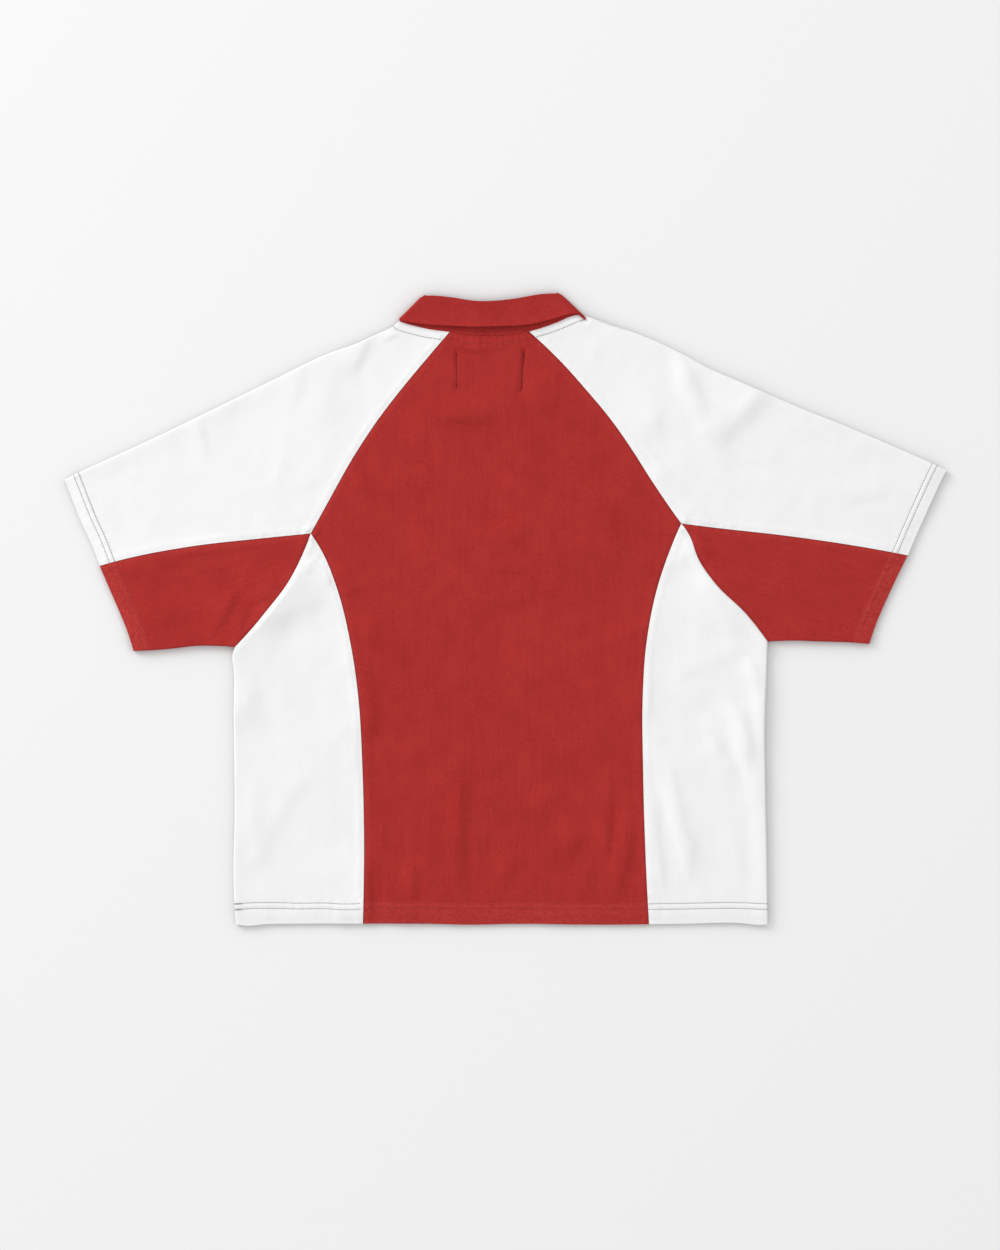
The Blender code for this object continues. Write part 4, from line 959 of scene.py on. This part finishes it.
def frontPanel():
    # As the back panel, with straight columns beside the placket's opening.
    toUnderarm, toHem, down = bodyShares("raglanFront")
    cells, bedCells, notchCells = 36, 5, 8
    hemLeft, hemRight = fine["left"]["hem"][0], fine["right"]["hem"][0]
    middle = (hemLeft + hemRight) / 2.0
    half, bed = placket["notch"] / 2.0, placket["bed"] / 2.0
    offsets = np.concatenate([np.linspace(-bed, -half, bedCells)[1:-1],
                              np.linspace(-half, half, notchCells + 1),
                              np.linspace(half, bed, bedCells)[1:-1]])
    straight = np.column_stack([offsets, np.zeros(len(offsets))])
    shares = np.linspace(0.0, 1.0, cells + 1)
    neck = np.vstack([pointsAt(smoothLine(neckFrontRows["left"]), shares), straight + placketTop,
                      pointsAt(smoothLine(neckFrontRows["right"]), shares)[::-1]])
    hem = np.vstack([np.linspace(hemLeft, middle - (bed, 0.0), cells + 1), straight + middle,
                     np.linspace(middle + (bed, 0.0), hemRight, cells + 1)])
    across = np.concatenate([shares * 0.5, np.full(len(offsets), 0.5), 0.5 + shares * 0.5])
    plan = gridBetween(neck, hem, *bodyEdges("raglanFront", toUnderarm, toHem), across, down)
    first = cells + bedCells - 1
    inNotch = plan[:-1, first:first + notchCells, 1] > placket["foot"]
    keep = np.ones((plan.shape[0] - 1, plan.shape[1] - 1), dtype=bool)
    keep[:, first:first + notchCells] = ~inNotch
    skin = frontSkin(plan)
    piece = wallPiece("front_panel_jersey", lay(plan, skin + cloth["wall"]), lay(plan, skin),
                      redJersey, keep=keep, band=bandShare(plan))
    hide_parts("front_panel")
    return piece, plan, first + notchCells // 2


# By side: where along the shoulder fold the underarm lies, and the grain of the two sleeve pieces.
sleeves = dict(left=(0.485, -62.0, -68.0), right=(0.455, 62.0, 68.0))
panels = {}
for side, (shoulderShare, upperGrain, lowerGrain) in sleeves.items():
    panels[f"upper_{side}"] = upperSleeve(side, fine[side], shoulderShare, upperGrain)
    panels[f"lower_{side}"] = lowPiece("lower_sleeve", side, fine[side], lowerGrain)
    panels[f"side_{side}"] = lowPiece("side_panel", side, fine[side], 0.0)
panels["back"] = backPanel()
panels["front"], frontPlan, placketColumn = frontPanel()
print("panels ready")

# Collar, placket and buttons.

collar = dict(axis=0.0033, rib=0.0014, standReach=0.0009, point=0.073, spread=24.0, fall=0.97,
              sideLift=0.3, bendRadius=0.0025, steps=(16, 22, 11),   # up the stand, down the fall, bend
              endGap=0.0015, layerGap=0.0003, edgeLift=0.0042, lip=0.00045, lipWidth=0.0030,
              wave=0.00040, cornerPull=0.0004, cornerWidth=0.0050, creaseTaper=0.0060, standDip=0.0006)
collarTopBack = [creaseLeft, (-0.0731, 0.3487), (-0.0600, 0.3470), (-0.0301, 0.3429), (-0.0130, 0.3432),
                 (0.0127, 0.3460), (0.0274, 0.3487), (0.0412, 0.3510), creaseRight]
collarTopFront = dict(
    left=[creaseLeft, (-0.0760, 0.3180), (-0.0580, 0.2930), (-0.0400, 0.2760), (-0.0170, 0.2680)],
    right=[creaseRight, (0.0470, 0.3190), (0.0280, 0.2935), (0.0100, 0.2765), (-0.0140, 0.2680)])
fallShares = [(0.00, 0.97), (0.25, 0.81), (0.50, 0.735), (0.75, 0.79), (1.00, 0.97)]


def linesJoined(parts, stops):
    # Points along joined lines: each line covers its own stretch of the stops.
    marks, points = [], []
    for line, start, end in zip(parts, stops[:-1], stops[1:]):
        marks.append(np.linspace(start, end, 40))
        points.append(evenly(line, 40))
    return np.concatenate(marks), np.vstack(points)


def collarStations():
    # Rows round the collar from the left front end to the right one: neck seam point, fold
    # line point, way out of the crease, its angle, and how the stand and the fall lie.
    stations = []

    def front(side, sign, out):
        # From the crease down one side of the front, where the fall widens to its point.
        end = np.array(placketTop)
        tail = np.array([neckFrontRows[side][-1], end + (sign * placket["notch"] / 2.0, 0.0),
                         end + (sign * collar["endGap"], 0.0)])
        marks, points = linesJoined([fine[side]["neckFront"], smoothLine(neckFrontRows[side]), tail],
                                    [0, 6, 11, 13])
        share = np.linspace(0.0, 1.0, 66)
        neck = np.column_stack([np.interp(share * 13, marks, points[:, k]) for k in (0, 1)])
        tops = pointsAt(smoothLine(collarTopFront[side]), share)
        standRho = collar["axis"] - frontSkin(neck) - cloth["wall"] / 2.0
        length = np.linalg.norm(neck - tops, axis=1)
        for k, part in enumerate(share):
            fall = length[k] * collar["fall"] * (1 - part**1.5) + collar["point"] * part**1.5
            stations.append((*neck[k], *tops[k], *out, -90.0, standRho[k],
                             collar["axis"] - collar["rib"] / 2.0, fall,
                             sign * np.radians(collar["spread"]) * part**2, 0.0))

    def crease(neck, top, out, angles):
        # The turn at a side crease: the section swings through half a circle on the spot.
        length = np.linalg.norm(np.array(neck) - top)
        for angle in angles:
            stations.append((*neck, *top, *out, angle, collar["standReach"],
                             collar["axis"] - collar["rib"] / 2.0, collar["fall"] * length, 0.0,
                             collar["sideLift"] * plateau(90.0 - angle, 0.0, 90.0)))

    outLeft, outRight = unit(np.array(creaseOut["left"])), unit(np.array(creaseOut["right"]))
    sweep = np.linspace(-90.0, 90.0, 18)[1:-1]
    front("left", -1.0, outLeft)
    stations.reverse()
    crease(neckLeft, creaseLeft, outLeft, sweep)
    marks, points = linesJoined([fine["left"]["neckBack"], smoothLine(neckBackRows),
                                 fine["right"]["neckBack"][::-1]], [0, 6, 20, 26])
    share = np.linspace(0.0, 1.0, 130)
    neck = np.column_stack([np.interp(share * 26, marks, points[:, k]) for k in (0, 1)])
    tops = pointsAt(smoothLine(collarTopBack), share)
    falls = np.interp(share, *smoothLine(fallShares).T) * np.linalg.norm(neck - tops, axis=1)
    standRho = backRise(neck) + cloth["wall"] / 2.0 - collar["axis"]
    for k, part in enumerate(share):
        lift = collar["sideLift"] + (1.0 - collar["sideLift"]) * np.sin(np.pi * part)**0.7
        stations.append((*neck[k], *tops[k], *(outLeft if part < 0.5 else outRight), 90.0, standRho[k],
                         standRho[k] + collar["rib"] + collar["layerGap"], falls[k], 0.0, lift))
    crease(neckRight, creaseRight, outRight, sweep[::-1])
    front("right", 1.0, outRight)
    return np.array(stations)


def collarPiece():
    # Each section runs up the stand, round the fold line and down the fall; it lies in the
    # plane that the crease angle gives, so the sweep turns over at both side creases.
    rows = collarStations()
    neck, top, out = rows[:, 0:2], rows[:, 2:4], rows[:, 4:6]
    for corner in (creaseLeft, creaseRight):
        near = bell(np.linalg.norm(top - corner, axis=1), collar["cornerWidth"])
        top = top + collar["cornerPull"] * near[:, None] * unit(neck - top)
    angle, standRho, fallRho, fall, turn, lift = rows[:, 6:12].T
    length = np.linalg.norm(neck - top, axis=1)
    down = (neck - top) / length[:, None]
    turned = np.column_stack([down[:, 0] * np.cos(turn) - down[:, 1] * np.sin(turn),
                              down[:, 0] * np.sin(turn) + down[:, 1] * np.cos(turn)])
    along = np.concatenate([[0.0], np.cumsum(np.linalg.norm(np.diff(top, axis=0), axis=1)
                                             + np.abs(np.diff(np.radians(angle))) * collar["bendRadius"])])
    upSteps, downSteps, bendSteps = collar["steps"]
    up, over = np.linspace(1.0, 0.0, upSteps), np.linspace(0.0, 1.0, downSteps)
    bend = np.radians(np.linspace(-90.0, 90.0, bendSteps))[1:-1]
    swing = np.radians(angle)[:, None]
    skins, texture = [], None
    for skin in (collar["rib"] / 2.0, -collar["rib"] / 2.0):
        radius = (fallRho - standRho) / 2.0
        standAway = length[:, None] * up
        sag = collar["standDip"] * np.clip(np.sin(swing), 0.0, 1.0) * np.sin(np.pi * up) * lift[:, None]
        standHigh = (standRho - skin)[:, None] - sag
        bendAway = -(radius + skin)[:, None] * np.cos(bend)
        bendHigh = ((standRho + fallRho) / 2.0)[:, None] + (radius + skin)[:, None] * np.sin(bend)
        fallAway = fall[:, None] * over
        onBack = np.clip(np.sin(swing), 0.0, 1.0)
        rise = collar["edgeLift"] * lift[:, None] * over**2.4 + onBack * collar["wave"] * (
            wobble(along, 71, 0.06)[:, None] * over + 0.5 * np.sin(np.pi * over))
        edge = bell(fall[:, None] * (1.0 - over), collar["lipWidth"])
        thick = np.sign(skin) * collar["lip"] * 0.5 * edge
        fallHigh = (fallRho + skin)[:, None] + rise * (0.15 + 0.85 * onBack) + thick
        away = np.concatenate([standAway, bendAway, fallAway], axis=1)
        rho = np.concatenate([standHigh, bendHigh, fallHigh], axis=1)
        onFall = np.arange(away.shape[1]) >= len(up) + len(bend)
        heading = np.where(onFall[None, :, None], turned[:, None], down[:, None])
        tip = plateau(np.maximum(away, 0.0), -0.002, collar["creaseTaper"])
        reachOut = rho * np.cos(swing) * (1.0 - 0.5 * tip)
        plan = top[:, None] + away[..., None] * heading + reachOut[..., None] * out[:, None]
        skins.append(lay(plan, collar["axis"] + rho * np.sin(swing)))
        place = np.concatenate([-standAway, 0.0 * bendAway, fallAway + 0.004], axis=1)
        texture = np.stack([np.broadcast_to(along[:, None], place.shape), place], axis=-1)
    piece = wallPiece("collar_rib", skins[0], skins[1], redRib, texture=texture)
    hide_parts("collar")
    return piece


def placketFace(points):
    # Height of the upper strip's underside: its lift and a slight ripple.
    return placket["overLift"] + placket["ripple"] * ripple(points, 83, 0.030)


def placketStrips():
    # The two strips of the front opening: one fills the notch, one covers it from outside.
    rows = int(np.sum(frontPlan[:, placketColumn, 1] > placket["foot"]))
    under = frontPlan[:rows + 1, placketColumn - 4:placketColumn + 5]
    height = np.full(under.shape[:2], cloth["placketLift"])
    filling = wallPiece("placket_under_jersey", lay(under, height + cloth["wall"]), lay(under, height),
                        redJersey)
    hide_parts("placket_under")
    middle = frontPlan[:rows + 1, placketColumn].copy()
    middle[-1, 1] -= placket["tail"]
    reach = np.linspace(-placket["width"] / 2.0, placket["width"] / 2.0, 21)
    over = middle[:, None] + np.stack([reach, 0.0 * reach], axis=-1)[None]
    height = placketFace(over)
    cover = wallPiece("placket_over_jersey", lay(over, height + cloth["wall"]), lay(over, height),
                      redJersey)
    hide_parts("placket_over")
    return middle, cover, filling


def buttonPiece(number, x, y):
    # A dished disc with four holes: rings of a turned profile, with a dimple at each hole.
    radius, height = placket["buttonRadius"], placket["buttonHeight"]
    ring = np.array([0.02, 0.15, 0.27, 0.36, 0.45, 0.56, 0.66, 0.74, 0.80, 0.90, 0.97, 1.0, 1.0, 0.97,
                     0.86, 0.5, 0.02])
    face = np.array([0.30, 0.30, 0.30, 0.30, 0.30, 0.30, 0.28, 0.14, 0.04, 0.0, 0.06, 0.22, 0.70, 0.90,
                     1.0, 1.0, 1.0])
    angle = np.linspace(0.0, 2 * np.pi, 48, endpoint=False)
    px = radius * ring[:, None] * np.cos(angle)
    py = radius * ring[:, None] * np.sin(angle)
    deep = np.zeros_like(px)
    for hx, hy in ((1, 1), (1, -1), (-1, 1), (-1, -1)):
        gap = np.hypot(px - hx * placket["holeAt"], py - hy * placket["holeAt"])
        deep += np.exp(-(gap / placket["holeRadius"])**4)
    onFace = (np.arange(len(ring)) < 7)[:, None]
    z = height * (face[:, None] + np.where(onFace, 0.42 * deep, 0.0))
    points = np.stack([px + x, py + y, z], axis=-1)
    index = np.arange(points[..., 0].size).reshape(len(ring), 48)
    after = np.roll(index, -1, axis=1)
    faces = np.stack([index[:-1], after[:-1], after[1:], index[1:]], axis=-1).reshape(-1, 4)[:, ::-1]
    caps = []
    for border, flip in ((index[0], 1), (index[-1], -1)):
        half = np.arange(23)
        cap = [border[half], border[half + 1], border[46 - half], border[47 - half]]
        caps.append(np.stack(cap, axis=-1)[:, ::flip])
    piece = meshFrom(f"button_{number}_resin", points, np.vstack([faces, *caps]), redButton)
    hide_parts(f"button_{number}")


collarMesh = collarPiece()
placketMiddle, placketOver, placketUnder = placketStrips()
for number, drop in enumerate(placket["buttonDrops"], start=1):
    y = placketTop[1] - drop
    x = float(np.interp(y, placketMiddle[::-1, 1], placketMiddle[::-1, 0]))
    buttonPiece(number, x, y)
print("collar, placket and buttons ready")


# Stitching.

stitch = dict(length=0.0029, gap=0.0003, radius=0.00042, sink=0.00025, rise=1.1,
              along=(0.0, 0.14, 0.5, 0.86, 1.0), arch=(0.0, 0.72, 1.0, 0.72, 0.0),
              thick=(0.45, 0.9, 1.0, 0.9, 0.45),
              tack=dict(length=0.0024, gap=-0.0002, radius=0.00072))


def stitchRun(name, path, up, material, slot, length=None, gap=None, radius=None):
    # Stitches along a path: each is a short tube whose radius and height follow half a sine.
    length, gap = length or stitch["length"], gap or stitch["gap"]
    radius = radius or stitch["radius"]
    along = arcLength(path)
    starts = np.arange(0.0, along[-1] - length, length + gap)
    stops = starts[:, None] + np.array(stitch["along"]) * length
    centre = np.stack([np.interp(stops, along, path[:, k]) for k in range(3)], axis=-1)
    lift = unit(np.stack([np.interp(stops, along, up[:, k]) for k in range(3)], axis=-1))
    heading = unit(np.gradient(centre, axis=1))
    lateral = unit(np.cross(heading, lift))
    arch = np.array(stitch["arch"])
    centre = centre + lift * (arch * radius * stitch["rise"] - stitch["sink"])[:, None]
    turn = np.radians(np.arange(6) * 60.0)
    thick = radius * np.array(stitch["thick"])
    points = (centre[:, :, None] + thick[:, None, None] * (
        np.cos(turn)[:, None] * lateral[:, :, None] + np.sin(turn)[:, None] * lift[:, :, None]))
    index = np.arange(points[..., 0].size).reshape(points.shape[:3])
    after = np.roll(index, -1, axis=2)
    tube = np.stack([index[:, :-1], after[:, :-1], after[:, 1:], index[:, 1:]], axis=-1).reshape(-1, 4)
    first, last = index[:, 0], index[:, -1]
    caps = [first[:, [3, 2, 1, 0]], first[:, [0, 5, 4, 3]], last[:, [0, 1, 2, 3]], last[:, [3, 4, 5, 0]]]
    return meshFrom(name, points, np.vstack([tube, *caps]), material)


def rowLayer(inside, ends, bottom):
    # One layer of a row: a line from fold edge to fold edge, laid on the skin; near its ends
    # it follows the half-ellipse of the fold.
    clear = np.min([np.linalg.norm(inside - end, axis=1) for end in ends], axis=0) > sewing["rowClear"]
    plan = np.vstack([ends[0], inside[clear], ends[1]])
    t = np.linspace(0.0, np.pi, 900)
    plan = pointsAt(plan, (1.0 - np.cos(t)) / 2.0)
    edge = nearest(plan, *foldLines)
    top, low = backSkin(plan), frontSkin(plan)
    reach = foldReach(plan)
    flat = np.nonzero(edge >= reach)[0]
    for array in (top, low, reach):
        array[:flat[0]] = array[flat[0]]
        array[flat[-1]:] = array[flat[-1]]
    lean = np.clip((reach - edge) / reach, 0.0, 1.0)
    stand = np.sqrt(1.0 - lean**2) * (-1.0 if bottom else 1.0)
    tangent = unit(np.gradient(plan, axis=0))
    outward = tangent * np.where(np.arange(len(plan)) < len(plan) / 2, -1.0, 1.0)[:, None]
    height = (top + low) / 2.0 + (top - low) / 2.0 * stand
    return lay(plan, height), lay(outward * lean[:, None], stand)


def rowEnds(folds, distance):
    # Where a row meets each fold: so far along the fold from its open end.
    return [pointsAt(fold, [distance / lineLength(fold)])[0] for fold in folds]


def rowRing(topLine, bottomLine, ends):
    # The row on the back layer and, returning, on the front layer.
    over, overUp = rowLayer(topLine, ends, False)
    under, underUp = rowLayer(bottomLine, ends, True)
    return np.vstack([over, under[::-1]]), np.vstack([overUp, underUp[::-1]])


def clothAt(path, seams):
    # Which stretches of a row lie on red cloth: `seams` are (line, sign) pairs.
    red = np.ones(len(path), dtype=bool)
    for line, sign in seams:
        at = np.interp(path[:, 1], line[:, 1], line[:, 0])
        red &= (path[:, 0] - at) * sign > 0.0
    return red


def stretches(flags):
    # Runs of equal flags that are longer than 3 points: start, end and flag.
    change = np.nonzero(np.diff(flags.astype(int)))[0] + 1
    stops = np.concatenate([[0], change, [len(flags)]])
    return [(a, b, bool(flags[a])) for a, b in zip(stops[:-1], stops[1:]) if b - a > 3]


rowPieces = {"red": [], "white": []}


def addRow(name, path, up, red):
    # One row of stitches, in a piece for each stretch of red or white cloth.
    for number, (start, end, isRed) in enumerate(stretches(red), start=1):
        colour = "red" if isRed else "white"
        piece = stitchRun(f"{name}_{number}", path[start:end], up[start:end],
                          redThread if isRed else whiteThreadPaintedShade, f"{colour}_thread")
        rowPieces[colour].append(piece)


sideSeams = [(fine["left"]["sideSeam"][::-1], 1.0), (fine["right"]["sideSeam"][::-1], -1.0)]
sideFolds = [lines["sideFold"][::-1] for lines in fine.values()]
for number, distance in enumerate(sewing["hemRows"], start=1):
    line = offsetLine(evenly(hemStitchLine, 400), distance)
    path, up = rowRing(line, line, rowEnds(sideFolds, distance))
    addRow(f"hem_row_{number}", path, up, clothAt(path, sideSeams))
    along = arcLength(path)
    tacked = (along > sewing["hemTack"][0]) & (along < sewing["hemTack"][1])
    rowPieces["white"].append(stitchRun(f"hem_tack_{number}", path[tacked], up[tacked], whiteThreadPaintedShade,
                                        "white_thread", **stitch["tack"]))

for side, lines in fine.items():
    cuffFolds = [lines["underFold"][::-1], lines["shoulderFold"][::-1]]
    seam = lines["sleeveSeam"][np.argsort(lines["sleeveSeam"][:, 0])]
    for number, distance in enumerate(sewing["cuffRows"], start=1):
        line = offsetLine(evenly(cuffLines[side], 400), distance)
        path, up = rowRing(line, line, rowEnds(cuffFolds, distance))
        red = path[:, 1] < np.interp(path[:, 0], seam[:, 0], seam[:, 1])
        addRow(f"cuff_row_{side}_{number}", path, up, red)

neckEnds = [rowEnds([fine["left"]["shoulderFold"]], sewing["neckRow"])[0],
            np.array(sewing["neckRowRight"][-1])]
path, up = rowRing(neckRowLine, offsetLine(evenly(frontNeckLine, 400),
                                           sewing["neckRow"]), neckEnds)
onRed = np.zeros(len(path), dtype=bool)
for name, half in (("raglanBack", up[:, 2] >= 0.0), ("raglanFront", up[:, 2] < 0.0)):
    raglans = [(fine["left"][name][::-1], 1.0), (fine["right"][name][::-1], -1.0)]
    onRed |= clothAt(path, raglans) & half
overPlacket = (up[:, 2] < 0.0) & (np.abs(path[:, 0] - placketTop[0]) < placket["width"] / 2.0 + 0.001)
for number, (start, end, hidden) in enumerate(stretches(overPlacket), start=1):
    if not hidden:
        addRow(f"neck_row_{number}", path[start:end], up[start:end], onRed[start:end])


def looseRun(name, line, height, facing, material, **sizes):
    # Stitches along a plan line at the given height, facing up (1) or down (-1).
    ways = np.tile([0.0, 0.0, facing], (len(line), 1))
    return stitchRun(name, lay(line, height), ways, material, "red_thread", **sizes)


label = dict(lift=0.0003, length=0.0024, gap=0.0002, knot=0.0028, knotRadius=0.00075)
labelTacks = dict(left=([(-0.0549, 0.2867), (-0.0549, 0.2430)], 0.00036),
                  right=([(0.0207, 0.2870), (0.0185, 0.2650), (0.0176, 0.2460), (0.0158, 0.2430)], 0.00052))
labelKnots = [(-0.0546, 0.2852), (-0.0552, 0.2518), (0.0207, 0.2845)]
tacks = []
for side, (ends, radius) in labelTacks.items():
    line = evenly(np.array(ends), 80)
    tacks.append(looseRun(f"label_tack_{side}", line, backSkin(line) + label["lift"], 1.0, tackThread,
                          length=label["length"], gap=label["gap"], radius=radius))
for number, middle in enumerate(labelKnots, start=1):
    line = np.array(middle) + np.linspace(-0.5, 0.5, 9)[:, None] * np.array([0.0, label["knot"]])
    tacks.append(looseRun(f"label_knot_{number}", line, backSkin(line) + label["lift"], 1.0, tackThread,
                          length=label["length"], radius=label["knotRadius"]))

edges = []
for number, side in ((1, -1.0), (3, 1.0)):
    line = placketMiddle[2:-1] + (side * (placket["width"] / 2.0 - placket["rowInset"]), 0.0)
    line = evenly(line, 160)
    edges.append(looseRun(f"placket_row_{number}", line, placketFace(line), -1.0, redThread))
print("stitching ready")


# What each piece was cut from: width, length and area of the flat cut, in metres.

cuts = dict(
    back=(0.417, 0.665, 0.2077), front=(0.416, 0.617, 0.1904), side_left=(0.285, 0.440, 0.1061),
    side_right=(0.266, 0.450, 0.1055), upper_left=(0.360, 0.450, 0.1066),
    upper_right=(0.360, 0.470, 0.1169), lower_left=(0.300, 0.240, 0.0422),
    lower_right=(0.300, 0.250, 0.0442), collar=(0.390, 0.111, 0.0379),
    placket_over=(0.032, 0.1334, 0.00425), placket_under=(0.024, 0.1294, 0.00310),
)
isSewnOn = dict(back=("hem", "neck"), front=("hem", "neck"), side=("hem",), upper=("cuff", "neck"),
                lower=("cuff",), collar=(), placket=())
sewn = {}
for name in cuts:
    rows = rowPieces["white" if name.startswith(("upper", "side")) else "red"]
    sewn[name] = [row for row in rows if row.name.startswith(isSewnOn[name.split("_")[0]])]
sewn["back"] += tacks
sewn["placket_over"] = edges
panels.update(collar=collarMesh, placket_over=placketOver, placket_under=placketUnder)

# Floor, light and camera.

# The floor's plain tone, then the tone and reach of the contact shadow painted on it beside the shirt.
studio = dict(floor=0.80, floorShadowTone=0.48, shadowReach=0.025, floorSize=6.0, floorHeight=-0.0006, world=0.894,
              key=273.0, keyAt=(-5.06, 4.14, 3.06), keySize=2.9, frameWidth=1.12, cameraHeight=4.0)


def floorPaperPaintedShadow(name):
    # Plain pale paper with a painted contact shadow: an occlusion node darkens its colour close beside what
    # lies on it.
    material, tree, shader = shaded(name, 0.9, specular=0.2)
    near = node(tree, "AmbientOcclusion", "AO", {"Distance": studio["shadowReach"]}, samples=12)
    dark, light = [studio["floorShadowTone"]] * 3, [studio["floor"]] * 3
    return finished(material, shader, tintNode(tree, near, dark, light, 0.0, 1.0))


floorMesh = bpy.data.meshes.new("floor")
corners = [(x * studio["floorSize"], y * studio["floorSize"], studio["floorHeight"])
           for x, y in ((-1, -1), (1, -1), (1, 1), (-1, 1))]
floorMesh.from_pydata(corners, [], [(0, 1, 2, 3)])
floorMesh.materials.append(floorPaperPaintedShadow("floor_paper"))
floor = bpy.data.objects.new("floor", floorMesh)
bpy.context.scene.collection.objects.link(floor)

world = bpy.data.worlds.new("studio")
world.use_nodes = True
background = world.node_tree.nodes["Background"]
background.inputs["Color"].default_value = (1.0, 1.0, 1.0, 1.0)
background.inputs["Strength"].default_value = studio["world"]
bpy.context.scene.world = world

keyData = bpy.data.lights.new("key", "AREA")
keyData.energy = studio["key"]
keyData.size = studio["keySize"]
key = bpy.data.objects.new("key", keyData)
key.location = studio["keyAt"]
key.rotation_euler = (-key.location).to_track_quat("-Z", "Y").to_euler()
bpy.context.scene.collection.objects.link(key)

cameraData = bpy.data.cameras.new("camera")
cameraData.sensor_fit = "HORIZONTAL"
cameraData.sensor_width = 36.0
cameraData.lens = cameraData.sensor_width * studio["cameraHeight"] / studio["frameWidth"]
camera = bpy.data.objects.new("camera", cameraData)
camera.location = (-0.00616, -0.01792, studio["cameraHeight"])
bpy.context.scene.collection.objects.link(camera)
bpy.context.scene.camera = camera
bpy.context.scene.view_settings.view_transform = "Standard"

print("done")
